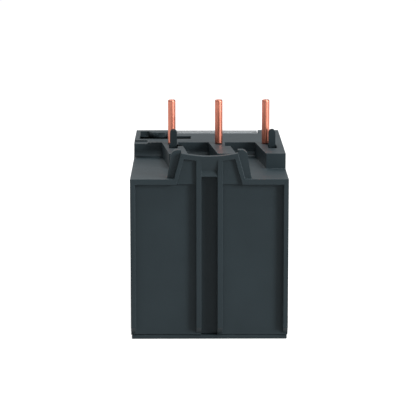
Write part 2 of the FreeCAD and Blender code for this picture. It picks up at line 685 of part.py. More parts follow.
def make_bimetal(x):
    half = BIMETAL_THICKNESS / 2
    return block(centred(x, half), centred(BIMETAL_D, BIMETAL_WIDTH / 2), (BIMETAL_FOOT_Z, BIMETAL_TOP_Z))


def strip_ring(x, gap, thickness, z):
    """Rectangular ring that lies round a bimetal strip."""
    half_x = BIMETAL_THICKNESS / 2 + gap
    half_d = BIMETAL_WIDTH / 2 + gap
    outer = block(centred(x, half_x + thickness), centred(BIMETAL_D, half_d + thickness), z)
    return outer.cut(block(centred(x, half_x), centred(BIMETAL_D, half_d), (z[0] - PAST, z[1] + PAST)))


def make_sleeve(x):
    z = (HEATER_Z[0] - SLEEVE_OVERHANG, HEATER_Z[1] + SLEEVE_OVERHANG)
    return strip_ring(x, SLEEVE_GAP, SLEEVE_THICKNESS, z)


def make_heater(x):
    """Flat strip wound round the sleeve: turns joined by short risers."""
    pitch = (HEATER_Z[1] - HEATER_Z[0] - HEATER_STRIP_HEIGHT) / (HEATER_TURNS - 1)
    front_d = heater_front_d() - HEATER_STRIP_THICKNESS
    turns = []
    for turn in range(HEATER_TURNS):
        z = HEATER_Z[0] + turn * pitch
        turns.append(strip_ring(x, heater_gap(), HEATER_STRIP_THICKNESS, (z, z + HEATER_STRIP_HEIGHT)))
        if turn < HEATER_TURNS - 1:
            side = RISER_SHIFT if turn % 2 else -RISER_SHIFT
            middle = z + HEATER_STRIP_HEIGHT / 2
            riser_d = (front_d, heater_front_d())
            turns.append(block(centred(x + side, RISER_HALF), riser_d, (middle, middle + pitch)))
    return fuse(turns)


def heater_gap():
    """Distance from a bimetal strip to the winding, over the sleeve."""
    return SLEEVE_GAP * 2 + SLEEVE_THICKNESS


def heater_front_d():
    return BIMETAL_D + BIMETAL_WIDTH / 2 + heater_gap() + HEATER_STRIP_THICKNESS


def make_lead(x, pin_x):
    """Flexible copper ribbon from the foot of a pin to the start of its heater."""
    half = LEAD_THICKNESS / 2
    start = PIN_D - PIN_STEM_RADIUS + half
    end = heater_front_d() + LEAD_GAP
    plan = [(pin_x - half, start), (x - half, end), (x + half, end), (pin_x + half, start)]
    ribbon = plan_prism(plan, LEAD_Z)
    return ribbon.cut(rod_z(pin_x, PIN_D, PIN_STEM_RADIUS, (LEAD_Z[0] - PAST, LEAD_Z[1] + PAST)))


def make_screws(places, z, radius, height, head_d, shank_radius, tail_d):
    """Slotted terminal screws, one solid each, heads towards the front."""
    screws = []
    top = head_d + height
    for x in places:
        head = rod_y(x, z, radius, (head_d, top))
        shank = rod_y(x, z, shank_radius, (tail_d, head_d))
        slot_d = (top - HEAD_SLOT_DEPTH, top + PAST)
        slot = block(centred(x, radius + PAST), slot_d, centred(z, HEAD_SLOT_HALF))
        screws.append(head.fuse(shank).cut(slot))
    return Part.makeCompound(screws)


def make_washers(places, z, size, d, hole_radius):
    washers = []
    for x in places:
        plate = block(centred(x, size / 2), d, centred(z, size / 2))
        washers.append(plate.cut(rod_y(x, z, hole_radius, (d[0] - PAST, d[1] + PAST))))
    return Part.makeCompound(washers)


# ---------------------------------------------------------------- trip slides
def make_slide(z, side):
    """Slide across the three poles; side is +1 for the pushing one, -1 for the return one."""
    bar = block((-SLIDE_HALF_LENGTH, SLIDE_HALF_LENGTH), SLIDE_D, z)
    arm = block(centred(ARM_X, ARM_WIDTH / 2), (SLIDE_D[1] - BOND, ARM_FRONT_D), z)
    near = BIMETAL_THICKNESS / 2 + FINGER_GAP
    pieces = [bar, arm]
    for x in POLE_X:
        ends = sorted((x + side * near, x + side * (near + FINGER_THICKNESS)))
        pieces.append(block(ends, (FINGER_REAR_D, SLIDE_D[0] + BOND), z))
    middle = (z[0] + z[1]) / 2
    stud_d = (ARM_FRONT_D - BOND, ARM_FRONT_D + PIVOT_STUD_LENGTH)
    pieces.append(rod_y(ARM_X, middle, PIVOT_STUD_RADIUS, stud_d))
    return fuse(pieces)


def make_differential_lever():
    """Lever on the studs of both slides; its tip presses the compensating strip."""
    half = DIFF_LEVER_WIDTH / 2
    tip = DIFF_TIP_WIDTH / 2
    low, high = DIFF_LEVER_Z
    neck = PUSH_Z[1]
    corner = neck - DIFF_LEVER_CHAMFER
    outline = [(ARM_X - half, low), (ARM_X + half, low), (ARM_X + half, corner), (ARM_X + tip, neck),
               (ARM_X + tip, high), (ARM_X - tip, high), (ARM_X - tip, neck), (ARM_X - half, corner)]
    push_z = (PUSH_Z[0] + PUSH_Z[1]) / 2
    return_z = (RETURN_Z[0] + RETURN_Z[1]) / 2
    hole = PIVOT_STUD_RADIUS + STUD_GAP
    cut_d = (DIFF_LEVER_D[0] - PAST, DIFF_LEVER_D[1] + PAST)
    slot_low = return_z - DIFF_SLOT_DROP
    cuts = [rod_y(ARM_X, push_z, hole, cut_d), rod_y(ARM_X, return_z, hole, cut_d),
            rod_y(ARM_X, slot_low, hole, cut_d), block(centred(ARM_X, hole), cut_d, (slot_low, return_z))]
    return front_prism(outline, DIFF_LEVER_D).cut(cuts).removeSplitter()


def make_trip_lever():
    hub = rod_z(TRIP_PIVOT_X, TRIP_PIVOT_D, TRIP_HUB_RADIUS, TRIP_Z)
    left = TRIP_PIVOT_X - TRIP_ARM_HALF
    right = TRIP_PIVOT_X + TRIP_ARM_HALF
    arm = block((left, right), (TRIP_REAR_D, TRIP_FRONT_D), TRIP_Z)
    bore_z = (TRIP_Z[0] - PAST, TRIP_Z[1] + PAST)
    bore = rod_z(TRIP_PIVOT_X, TRIP_PIVOT_D, TRIP_PIN_RADIUS + TRIP_BORE_GAP, bore_z)
    return fuse([hub, arm]).cut(bore)


def make_compensation_strip():
    """Second bimetal on the rear arm that cancels the warmth of the room."""
    face = TRIP_PIVOT_X - TRIP_ARM_HALF
    end = TRIP_PIVOT_D - TRIP_HUB_RADIUS - COMPENSATOR_END_GAP
    return block((face - COMPENSATOR_THICKNESS, face), (TRIP_REAR_D, end), COMPENSATOR_Z)


def make_trip_pivot():
    return rod_z(TRIP_PIVOT_X, TRIP_PIVOT_D, TRIP_PIN_RADIUS, (CHASSIS_Z[0], TRIP_PIN_TOP_Z))


def chassis_guides():
    """Two lipped rails on the chassis wall that the setting slide runs between."""
    pieces = []
    wall = CHASSIS_D[1] - BOND
    lip_d = (SETTING_BAR_D[1] + FIT_GAP, SETTING_BAR_D[1] + FIT_GAP + GUIDE_LIP)
    low, high = SETTING_BAR_Z
    for inner, outward in ((high + FIT_GAP, 1), (low - FIT_GAP, -1)):
        outer = inner + outward * GUIDE_THICKNESS
        over = inner - outward * GUIDE_LIP
        pieces.append(block(GUIDE_X, (wall, lip_d[1]), sorted((inner, outer))))
        pieces.append(block(GUIDE_X, lip_d, sorted((over, outer))))
    return pieces


def make_chassis():
    """Inner frame that carries the lever, the contact slide and the springs."""
    floor = block(centred(0, CHASSIS_HALF), CHASSIS_D, CHASSIS_Z)
    wall_d = (CHASSIS_D[1] - CHASSIS_WALL, CHASSIS_D[1])
    wall = block(centred(0, CHASSIS_HALF), wall_d, (CHASSIS_Z[0], CHASSIS_WALL_TOP_Z))
    body = fuse([floor, wall] + chassis_guides())
    window_d = (BLADE_D[0] - CHASSIS_WINDOW_GAP, BLADE_D[1] + CHASSIS_WINDOW_GAP)
    window_z = (CHASSIS_Z[0] - PAST, CHASSIS_Z[1] + PAST)
    cuts = [block((CHASSIS_WINDOW_INNER, NC_RISER[1] + CHASSIS_WINDOW_GAP), window_d, window_z),
            block((NO_RISER[0] - CHASSIS_WINDOW_GAP, -CHASSIS_WINDOW_INNER), window_d, window_z)]
    for x in (RESET_X, STOP_X):
        cuts.append(rod_y(x, BUTTON_Z, STEM_RADIUS + STEM_HOLE_GAP, (wall_d[0] - PAST, wall_d[1] + PAST)))
    cuts.append(rod_z(TRIP_PIVOT_X, TRIP_PIVOT_D, TRIP_PIN_RADIUS, window_z))
    finger_x = (SETTING_FINGER_X[0] - CAM_RISE - CHASSIS_WINDOW_GAP, CHASSIS_HALF + PAST)
    finger_z = (SETTING_BAR_Z[0] - FIT_GAP, SETTING_BAR_Z[1] + CHASSIS_WINDOW_GAP)
    cuts.append(block(finger_x, (wall_d[0] - PAST, wall_d[1] + PAST), finger_z))
    return body.cut(cuts)


def make_setting_slide():
    """Bar moved by the dial's cam; its finger is the rest stop of the trip lever."""
    ear_x = DIAL_X + CAM_RADIUS + SETTING_CAM_GAP
    bar = block((ear_x, SETTING_FINGER_X[1]), SETTING_BAR_D, SETTING_BAR_Z)
    ear = block((ear_x, ear_x + SETTING_EAR_THICKNESS), (SETTING_BAR_D[0], CAM_D[1]),
                (SETTING_BAR_Z[0], SETTING_EAR_TOP_Z))
    finger = block(SETTING_FINGER_X, (SETTING_FINGER_REAR_D, SETTING_BAR_D[1]), SETTING_BAR_Z)
    return fuse([bar, ear, finger])


# ---------------------------------------------------------------- contacts
NC_MOVING_FACE = BLADE_X + BLADE_THICKNESS / 2 + RIVET_HEIGHT
NC_FIXED_FACE = NC_MOVING_FACE + CLOSED_GAP
NC_RISER = (NC_FIXED_FACE + FIXED_RIVET_HEIGHT, NC_FIXED_FACE + FIXED_RIVET_HEIGHT + FIXED_THICKNESS)
NO_MOVING_FACE = -BLADE_X - BLADE_THICKNESS / 2 - RIVET_HEIGHT
NO_FIXED_FACE = NO_MOVING_FACE - OPEN_GAP
NO_RISER = (NO_FIXED_FACE - FIXED_RIVET_HEIGHT - FIXED_THICKNESS, NO_FIXED_FACE - FIXED_RIVET_HEIGHT)


def terminal_plate(x):
    """Tapped plate of an auxiliary terminal with its strip running back."""
    plate_d = (AUX_PLATE_D, AUX_PLATE_D + AUX_PLATE_THICKNESS)
    plate_z = (AUX_PLATE_FOOT_Z, TERMINAL_STRIP_Z[1])
    plate = block(centred(x, AUX_POCKET_HALF - AUX_PLATE_INSET), plate_d, plate_z)
    strip = block(centred(x, TERMINAL_STRIP_HALF), (BLADE_D[0], plate_d[1]), TERMINAL_STRIP_Z)
    hole_d = (plate_d[0] - PAST, plate_d[1] + PAST)
    return plate.cut(rod_y(x, AUX_SCREW_Z, AUX_SHANK_RADIUS + PRESS_GAP, hole_d)).fuse(strip)


def make_fixed_terminal(x, riser, face):
    """Terminal whose riser carries a fixed contact rivet."""
    reach = sorted((x, riser[0], riser[1]))
    strip = block((reach[0], reach[-1]), BLADE_D, TERMINAL_STRIP_Z)
    post = block(riser, BLADE_D, (TERMINAL_STRIP_Z[0], BLADE_Z[1]))
    middle_d = (BLADE_D[0] + BLADE_D[1]) / 2
    ends = sorted((face, riser[0] if face < riser[0] else riser[1]))
    rivet = rod_x(middle_d, CONTACT_Z, CONTACT_RADIUS, ends)
    return fuse([terminal_plate(x), strip, post, rivet])


def make_common_terminal(x):
    """Terminal with the upright tab that a moving blade is riveted to."""
    near = x + BLADE_THICKNESS / 2 + FIXED_FOOT_GAP
    tab = block((near, near + FIXED_THICKNESS), BLADE_D, (TERMINAL_STRIP_Z[0], COMMON_TAB_TOP_Z))
    return fuse([terminal_plate(x), tab])


def make_blade(x, face):
    blade = block(centred(x, BLADE_THICKNESS / 2), BLADE_D, BLADE_Z)
    middle_d = (BLADE_D[0] + BLADE_D[1]) / 2
    rivet = rod_x(middle_d, CONTACT_Z, CONTACT_RADIUS, sorted((x, face)))
    return fuse([blade, rivet])


def make_contact_slide():
    """Insulating slide that opens one contact and closes the other."""
    pieces = [block(SLIDER_X, SLIDER_D, SLIDER_Z)]
    for x in (-BLADE_X, BLADE_X):
        near = x + BLADE_THICKNESS / 2 + SLIDER_FINGER_GAP
        finger_d = (SLIDER_FINGER_REAR_D, SLIDER_D[0] + BOND)
        pieces.append(block((near, near + SLIDER_FINGER_WIDTH), finger_d, SLIDER_Z))
    return fuse(pieces)


# ---------------------------------------------------------------- controls
def flange_d():
    front = UPPER_FACE_D - UPPER_WALL - FLANGE_GAP
    return (front - FLANGE_THICKNESS, front)


def make_stop_button():
    flange = rod_y(STOP_X, BUTTON_Z, STOP_RADIUS + FLANGE_RADIUS_EXTRA, flange_d())
    cap = rod_y(STOP_X, BUTTON_Z, STOP_RADIUS, (flange_d()[0], BUTTON_TOP_D))
    cap = cap.makeChamfer(STOP_EDGE_CHAMFER, front_edges(cap, BUTTON_TOP_D))
    stem = rod_y(STOP_X, BUTTON_Z, STEM_RADIUS, (STEM_END_D, flange_d()[0]))
    return fuse([flange, cap, stem])


def make_reset_stem():
    flange = rod_y(RESET_X, BUTTON_Z, RESET_RADIUS + FLANGE_RADIUS_EXTRA, flange_d())
    stem = rod_y(RESET_X, BUTTON_Z, STEM_RADIUS, (STEM_END_D, flange_d()[0]))
    neck = rod_y(RESET_X, BUTTON_Z, STEM_RADIUS, (flange_d()[1], flange_d()[1] + RESET_NECK_LENGTH))
    return fuse([flange, stem, neck])


def make_reset_knob():
    """Blue knob that presses to reset and turns between hand and automatic."""
    start = flange_d()[1] + FIT_GAP
    knob = rod_y(RESET_X, BUTTON_Z, RESET_RADIUS, (start, BUTTON_TOP_D))
    knob = knob.makeChamfer(RESET_EDGE_CHAMFER, front_edges(knob, BUTTON_TOP_D))
    bore = rod_y(RESET_X, BUTTON_Z, STEM_RADIUS + RESET_NECK_GAP, (start - PAST, start + RESET_NECK_LENGTH))
    slot_d = (BUTTON_TOP_D - RESET_SLOT_DEPTH, BUTTON_TOP_D + PAST)
    slot = block(centred(RESET_X, RESET_RADIUS + PAST), slot_d, centred(BUTTON_Z, RESET_SLOT_HALF))
    return knob.cut([bore, slot])


def make_spring(x):
    """Compression spring between the chassis wall and a button flange."""
    start = CHASSIS_D[1] + SPRING_END_GAP + SPRING_WIRE_RADIUS
    end = flange_d()[0] - SPRING_END_GAP - SPRING_WIRE_RADIUS
    count = SPRING_TURNS * SPRING_STEPS
    path = []
    for step in range(count + 1):
        angle = 2 * math.pi * step / SPRING_STEPS
        y = REAR_Y - start - (end - start) * step / count
        path.append(V(x + SPRING_RADIUS * math.cos(angle), y, BUTTON_Z + SPRING_RADIUS * math.sin(angle)))
    heading = path[1] - path[0]
    side = heading.cross(V(1, 0, 0)).normalize()
    section = []
    for corner in range(SPRING_CORNERS + 1):
        turn = FreeCAD.Rotation(heading, 360 * corner / SPRING_CORNERS)
        section.append(path[0] + turn.multVec(side) * SPRING_WIRE_RADIUS)
    sweep = Part.BRepOffsetAPI.MakePipeShell(Part.makePolygon(path))
    sweep.add(Part.makePolygon(section))
    sweep.setTransitionMode(1)
    sweep.build()
    sweep.makeSolid()
    return sweep.shape()


def make_cam():
    """Spiral cam whose edge moves evenly outwards as the dial turns."""
    edge = []
    for step in range(CAM_STEPS + 1):
        angle = math.radians(CAM_SPIRAL_HALF * (2 * step / CAM_STEPS - 1))
        radius = CAM_RADIUS - CAM_RISE * angle / math.radians(CAM_TURN)
        edge.append((DIAL_X + radius * math.cos(angle), DIAL_Z + radius * math.sin(angle)))
    return front_prism(edge, CAM_D)


def make_dial():
    """Current setting dial with its screwdriver slot, shaft and cam."""
    rear = DIAL_FACE_D - DIAL_THICKNESS
    disc = rod_y(DIAL_X, DIAL_Z, DIAL_RADIUS, (rear, DIAL_FACE_D))
    shaft = rod_y(DIAL_X, DIAL_Z, DIAL_SHAFT_RADIUS, (CAM_D[0], rear))
    slot = block(centred(DIAL_X, DIAL_SLOT_WIDTH / 2), (DIAL_FACE_D - DIAL_SLOT_DEPTH, DIAL_FACE_D + PAST),
                 centred(DIAL_Z, DIAL_SLOT_HALF_LENGTH))
    return fuse([disc, shaft, make_cam()]).cut(slot)


def make_test_slide():
    front = UPPER_FACE_D - UPPER_WALL - FLANGE_GAP
    plate = block(centred(TEST_X, TEST_PLATE_HALF_WIDTH), (front - TEST_PLATE_THICKNESS, front),
                  centred(TEST_Z, TEST_PLATE_HALF_HEIGHT))
    lug = block(centred(TEST_X, TEST_LUG / 2), (front - BOND, UPPER_FACE_D + TEST_PROUD),
                centred(TEST_Z, TEST_HEIGHT / 2))
    return fuse([plate, lug])


# ---------------------------------------------------------------- clear cover
def make_clear_cover():
    """Hinged transparent cover over the dial, with a window for the reset knob."""
    inner_d = BODY_DEPTH - COVER_THICKNESS
    inner_z = DECK_Z - COVER_THICKNESS
    profile = [(COVER_REAR_D, DECK_Z), (BODY_DEPTH, DECK_Z),
               (BODY_DEPTH, COVER_FOOT_Z), (inner_d, COVER_FOOT_Z),
               (inner_d, inner_z), (COVER_REAR_D, inner_z)]
    shell = side_prism(profile, COVER_X)
    shell = shell.makeFillet(COVER_CORNER, edges_at(shell, BODY_DEPTH, DECK_Z))
    shell = shell.makeFillet(COVER_CORNER - COVER_THICKNESS, edges_at(shell, inner_d, inner_z))
    pieces = [shell]
    ear_z = (COVER_PIVOT_Z - COVER_EAR_DROP, inner_z + BOND)
    ear_d = centred(COVER_PIVOT_D, COVER_EAR_HALF_DEPTH)
    for edge, inward in ((COVER_X[0], 1), (COVER_X[1], -1)):
        ear_x = sorted((edge, edge + inward * COVER_EAR_THICKNESS))
        pin_x = sorted((edge - inward * COVER_PIN_LENGTH, edge + inward * COVER_EAR_THICKNESS))
        pieces.append(block(ear_x, ear_d, ear_z))
        pieces.append(rod_x(COVER_PIVOT_D, COVER_PIVOT_Z, COVER_PIN_RADIUS, pin_x))
    window = block(centred(RESET_X, RESET_WINDOW_HALF), (inner_d - PAST, BODY_DEPTH + PAST),
                   centred(BUTTON_Z, RESET_WINDOW_HALF))
    return fuse(pieces).cut(window)


def edges_at(shape, d, z):
    """Edges that run side to side at the given depth and height."""
    found = []
    for edge in shape.Edges:
        middle = edge.CenterOfMass
        if abs(middle.y - (REAR_Y - d)) < SAME and abs(middle.z - z) < SAME:
            found.append(edge)
    return found


def front_edges(shape, d):
    """Edges that lie in the plane at the given depth."""
    return [e for e in shape.Edges if abs(e.CenterOfMass.y - (REAR_Y - d)) < SAME]


# ---------------------------------------------------------------- front housing
def front_tiers():
    """Three steps: power terminals lowest, auxiliary terminals, then the controls."""
    side = (-HALF_WIDTH, HALF_WIDTH)
    start = REAR_HOUSING_DEPTH + HOUSING_SEAM
    roof = DECK_Z - DECK_THICKNESS - UPPER_TOP_GAP
    tiers = [block(side, (start, POWER_TIER_D), (0, POWER_TIER_Z)),
             block(side, (start, AUX_TIER_D), (POWER_TIER_Z, AUX_TIER_Z)),
             block(side, (start, UPPER_FACE_D), (AUX_TIER_Z, roof))]
    front_d = (DECK_FRONT_D + FIT_GAP, UPPER_FACE_D)
    left = (-HALF_WIDTH, COVER_X[0] - COVER_GAP)
    right = (COVER_X[1] + COVER_GAP, HALF_WIDTH)
    tiers.append(block(left, front_d, (roof - BOND, DECK_Z)))
    tiers.append(block(right, front_d, (roof - BOND, DECK_Z)))
    return fuse(tiers)


def front_cavities():
    """Mechanism chamber, hollow behind the auxiliary tier and strip channels."""
    inner = HALF_WIDTH - WALL
    start = REAR_HOUSING_DEPTH
    low_z = (POWER_TIER_Z + CAVITY_FLOOR, TERMINAL_STRIP_Z[0] - CAVITY_FLOOR)
    cuts = [block((-inner, inner), (start, UPPER_FACE_D - UPPER_WALL),
                  (AUX_TIER_Z + CAVITY_FLOOR, TROUGH_Z - ROOF_THICKNESS)),
            block((-inner, inner), (start, AUX_PLATE_D - UPPER_WALL), low_z)]
    gap = STRIP_CHANNEL_GAP
    strip_z = (TERMINAL_STRIP_Z[0] - FIT_GAP, AUX_TIER_Z + CAVITY_FLOOR + BOND)
    strip_d = (BLADE_D[0] - gap, AUX_PLATE_D + gap)
    for x in AUX_X:
        cuts.append(block(centred(x, TERMINAL_STRIP_HALF + gap), strip_d, strip_z))
    blade_d = (BLADE_D[0] - gap, BLADE_D[1] + gap)
    cuts.append(block((NC_RISER[0] - gap, AUX_X[3]), blade_d, strip_z))
    cuts.append(block((AUX_X[0], NO_RISER[1] + gap), blade_d, strip_z))
    return cuts


def front_pockets():
    """Terminal pockets, open below for the wire and in front for the screwdriver."""
    cuts = []
    for x in POLE_X:
        across = centred(x, POWER_POCKET_HALF)
        pocket_d = (POWER_PLATE_D - PRESS_GAP, POWER_TIER_D - TIER_WALL)
        cuts.append(block(across, pocket_d, (-PAST, POWER_POCKET_TOP_Z)))
        cuts.append(rod_y(x, POWER_SCREW_Z, POWER_HOLE_RADIUS, (pocket_d[1] - PAST, POWER_TIER_D + PAST)))
        behind = (REAR_HOUSING_DEPTH, POWER_PLATE_D)
        bar_z = (BAR_Z[0] - FIT_GAP, BAR_Z[1] + FIT_GAP)
        cuts.append(block(centred(x, BAR_WIDTH / 2 + FIT_GAP), behind, bar_z))
        cuts.append(block(centred(x, POWER_SHANK_RADIUS + SHANK_GAP), behind,
                          centred(POWER_SCREW_Z, POWER_SHANK_RADIUS + SHANK_GAP)))
    for x in AUX_X:
        across = centred(x, AUX_POCKET_HALF)
        pocket_d = (AUX_PLATE_D - PRESS_GAP, AUX_TIER_D - TIER_WALL)
        cuts.append(block(across, pocket_d, (POWER_TIER_Z - PAST, TERMINAL_STRIP_Z[1] + FIT_GAP)))
        cuts.append(rod_y(x, AUX_SCREW_Z, AUX_HOLE_RADIUS, (pocket_d[1] - PAST, AUX_TIER_D + PAST)))
        tail_d = (AUX_PLATE_D - UPPER_WALL - PAST, AUX_PLATE_D)
        cuts.append(block(centred(x, AUX_SHANK_RADIUS + SHANK_GAP), tail_d,
                          centred(AUX_SCREW_Z, AUX_SHANK_RADIUS + SHANK_GAP)))
    return cuts


def control_cuts():
    """Openings for the dial, the buttons, the test slide and the cover hinge."""
    wall_rear = UPPER_FACE_D - UPPER_WALL
    through = (wall_rear - PAST, UPPER_FACE_D + PAST)
    pocket_d = DIAL_FACE_D - DIAL_THICKNESS - DIAL_GAP
    window = (TEST_X - TEST_LUG / 2 - TEST_TRAVEL - TEST_GAP, TEST_X + TEST_LUG / 2 + TEST_GAP)
    trough = block((COVER_X[0] - COVER_GAP, COVER_X[1] + COVER_GAP), (DECK_CUT_D, BODY_DEPTH),
                   (TROUGH_Z, DECK_Z + PAST))
    cuts = [rod_y(RESET_X, BUTTON_Z, RESET_RADIUS + BUTTON_GAP, through),
            rod_y(STOP_X, BUTTON_Z, STOP_RADIUS + BUTTON_GAP, through),
            rod_y(DIAL_X, DIAL_Z, DIAL_RADIUS + DIAL_GAP, (pocket_d, UPPER_FACE_D + PAST)),
            rod_y(DIAL_X, DIAL_Z, DIAL_SHAFT_RADIUS + FIT_GAP, (CAM_D[0], pocket_d + PAST)),
            block(window, through, centred(TEST_Z, TEST_HEIGHT / 2 + TEST_GAP)), trough]
    gap = HINGE_POCKET_GAP
    for edge in (COVER_X[0] - COVER_GAP - HINGE_BOSS_WIDTH, COVER_X[1] + COVER_GAP):
        across = (edge - gap, edge + HINGE_BOSS_WIDTH + gap)
        cuts.append(block(across, (COVER_REAR_D - gap, DECK_FRONT_D + gap),
                          (HINGE_BOSS_Z - gap, DECK_Z - DECK_THICKNESS)))
    return cuts


def front_additions():
    """Dial boss, chassis rails and the guides of the test slide."""
    wall_rear = UPPER_FACE_D - UPPER_WALL
    boss_d = (DIAL_FACE_D - DIAL_THICKNESS - DIAL_GAP - DIAL_BOSS_WALL, wall_rear + BOND)
    pieces = [rod_y(DIAL_X, DIAL_Z, DIAL_RADIUS + DIAL_GAP + DIAL_BOSS_RIM, boss_d)]
    inner = HALF_WIDTH - WALL
    rail_top = CHASSIS_Z[0] - FIT_GAP
    rail_d = (REAR_HOUSING_DEPTH + PAST, CHASSIS_D[1])
    rail = block((inner - RAIL_WIDTH, inner + BOND), rail_d, (rail_top - RAIL_HEIGHT, rail_top))
    pieces += [rail, mirrored_x(rail)]
    guide_x = (TEST_X - TEST_GUIDE_REACH, inner + BOND)
    plate_rear = wall_rear - FLANGE_GAP - TEST_PLATE_THICKNESS
    near = TEST_PLATE_HALF_HEIGHT + TEST_GAP
    for side in (-1, 1):
        outer = TEST_Z + side * (near + TEST_GUIDE_THICKNESS)
        web = sorted((TEST_Z + side * near, outer))
        lip = sorted((TEST_Z + side * (near - TEST_GUIDE_LIP), outer))
        lip_d = (plate_rear - TEST_GAP - TEST_GUIDE_THICKNESS, plate_rear - TEST_GAP)
        pieces.append(block(guide_x, (lip_d[0], wall_rear + BOND), web))
        pieces.append(block(guide_x, lip_d, lip))
    return pieces


def snap_hooks():
    """Springy arms that reach into the rear housing and catch its side windows."""
    inner = HALF_WIDTH - WALL - FIT_GAP
    hooks = []
    for z in HOOK_Z:
        tall = centred(z, HOOK_HALF_HEIGHT)
        arm = block((inner - HOOK_THICKNESS, inner), (HOOK_REAR_D, REAR_HOUSING_DEPTH + PAST), tall)
        tip = inner + HOOK_NOSE_REACH
        catch = HOOK_REAR_D + HOOK_NOSE_LENGTH
        nose_plan = [(inner - BOND, HOOK_REAR_D), (inner, HOOK_REAR_D), (tip, catch), (inner - BOND, catch)]
        nose = plan_prism(nose_plan, tall)
        hooks += [arm, nose, mirrored_x(arm), mirrored_x(nose)]
    return hooks


def make_front_housing():
    body = front_tiers().cut(front_cavities())
    body = fuse([body] + front_additions() + snap_hooks())
    return body.cut(front_pockets() + control_cuts()).removeSplitter()


# ---------------------------------------------------------------- export
os.makedirs("parts", exist_ok=True)
save("rear_housing", make_rear_housing())
save("front_housing", make_front_housing())
save("bottom_plate", make_bottom_plate())
save("clear_cover", make_clear_cover())
save("pin_carrier", make_pin_carrier())
for pole, x, pin_x in zip(POLES, POLE_X, PIN_X):
    save("pin_" + pole, make_pin(pin_x))
    save("heater_lead_" + pole, make_lead(x, pin_x))
    save("bimetal_" + pole, make_bimetal(x))
    save("heater_sleeve_" + pole, make_sleeve(x))
    save("heater_" + pole, make_heater(x))
    save("outlet_bar_" + pole, make_outlet_bar(x))

washer_d = (POWER_WASHER_D, POWER_WASHER_D + POWER_WASHER_THICKNESS)
save("power_washers", make_washers(POLE_X, POWER_SCREW_Z, POWER_WASHER_SIZE, washer_d,
                                   POWER_SHANK_RADIUS + WASHER_HOLE_GAP))
tail_d = POWER_PLATE_D - POWER_SHANK_TAIL
save("power_screws", make_screws(POLE_X, POWER_SCREW_Z, POWER_HEAD_RADIUS, POWER_HEAD_HEIGHT,
                                 washer_d[1] + PRESS_GAP, POWER_SHANK_RADIUS, tail_d))
washer_d = (AUX_WASHER_D, AUX_WASHER_D + AUX_WASHER_THICKNESS)
save("auxiliary_washers", make_washers(AUX_X, AUX_SCREW_Z, AUX_WASHER_SIZE, washer_d,
                                       AUX_SHANK_RADIUS + WASHER_HOLE_GAP))
tail_d = AUX_PLATE_D - AUX_SHANK_TAIL
save("auxiliary_screws", make_screws(AUX_X, AUX_SCREW_Z, AUX_HEAD_RADIUS, AUX_HEAD_HEIGHT,
                                     washer_d[1] + PRESS_GAP, AUX_SHANK_RADIUS, tail_d))

save("push_slide", make_slide(PUSH_Z, 1))
save("return_slide", make_slide(RETURN_Z, -1))
save("differential_lever", make_differential_lever())
save("trip_lever", make_trip_lever())
save("compensation_strip", make_compensation_strip())
save("trip_pivot", make_trip_pivot())
save("mechanism_chassis", make_chassis())
save("setting_slide", make_setting_slide())
save("contact_slide", make_contact_slide())
save("break_contact_fixed", make_fixed_terminal(AUX_X[3], NC_RISER, NC_FIXED_FACE))
save("break_contact_common", make_common_terminal(AUX_X[2]))
save("break_contact_blade", make_blade(BLADE_X, NC_MOVING_FACE))
save("make_contact_fixed", make_fixed_terminal(AUX_X[0], NO_RISER, NO_FIXED_FACE))
save("make_contact_common", make_common_terminal(AUX_X[1]))
save("make_contact_blade", make_blade(-BLADE_X, NO_MOVING_FACE))

save("setting_dial", make_dial())
save("reset_knob", make_reset_knob())
save("reset_stem", make_reset_stem())
save("reset_spring", make_spring(RESET_X))
save("stop_button", make_stop_button())
save("stop_spring", make_spring(STOP_X))
save("test_slide", make_test_slide())
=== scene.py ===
import json
import math

import bmesh
import bpy
from bpy.props import FloatProperty, FloatVectorProperty, IntProperty, PointerProperty
from mathutils import Matrix, Vector


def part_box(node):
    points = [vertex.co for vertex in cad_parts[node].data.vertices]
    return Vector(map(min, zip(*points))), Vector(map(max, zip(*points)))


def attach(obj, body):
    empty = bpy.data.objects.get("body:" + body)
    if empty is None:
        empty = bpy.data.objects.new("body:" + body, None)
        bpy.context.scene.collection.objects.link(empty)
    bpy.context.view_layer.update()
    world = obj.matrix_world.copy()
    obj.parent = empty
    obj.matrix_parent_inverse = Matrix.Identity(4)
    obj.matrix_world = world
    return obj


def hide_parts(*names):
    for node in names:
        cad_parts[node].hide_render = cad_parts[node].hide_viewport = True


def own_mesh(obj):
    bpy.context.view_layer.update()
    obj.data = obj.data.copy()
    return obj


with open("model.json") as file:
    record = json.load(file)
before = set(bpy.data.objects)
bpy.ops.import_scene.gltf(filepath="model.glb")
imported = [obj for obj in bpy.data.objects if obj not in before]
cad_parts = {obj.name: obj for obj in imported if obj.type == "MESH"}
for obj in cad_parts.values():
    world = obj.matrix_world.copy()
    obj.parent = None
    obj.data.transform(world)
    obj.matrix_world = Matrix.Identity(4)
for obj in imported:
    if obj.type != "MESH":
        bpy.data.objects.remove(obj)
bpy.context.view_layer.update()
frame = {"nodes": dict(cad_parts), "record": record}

bl_info = {
    "name": "Thermal Overload Relay",
    "version": (1, 0, 0),
    "blender": (4, 5, 0),
    "location": "3D View > Sidebar > Relay",
    "description": "Dresses the plug-in thermal overload relay with its finishes and fine pieces",
    "category": "Object",
}

POLES = ("left", "middle", "right")
MM = 0.001

MERGE_DISTANCE = 0.002 * MM
MARK_MERGE_DISTANCE = 0.001 * MM
FLAT_ANGLE = math.radians(0.4)
SMOOTH_ANGLE = math.radians(32.0)
SHARP_ANGLE = math.radians(35.0)
ROUNDING = "Rounded edges"
FACING_FRONT = -0.99
LEVEL_TOLERANCE = 0.02 * MM
DISH_RINGS = 6
NUMBER_INSET = 0.75
NUMBER_CURVE_STEPS = 3
POINTER_GAP = 2

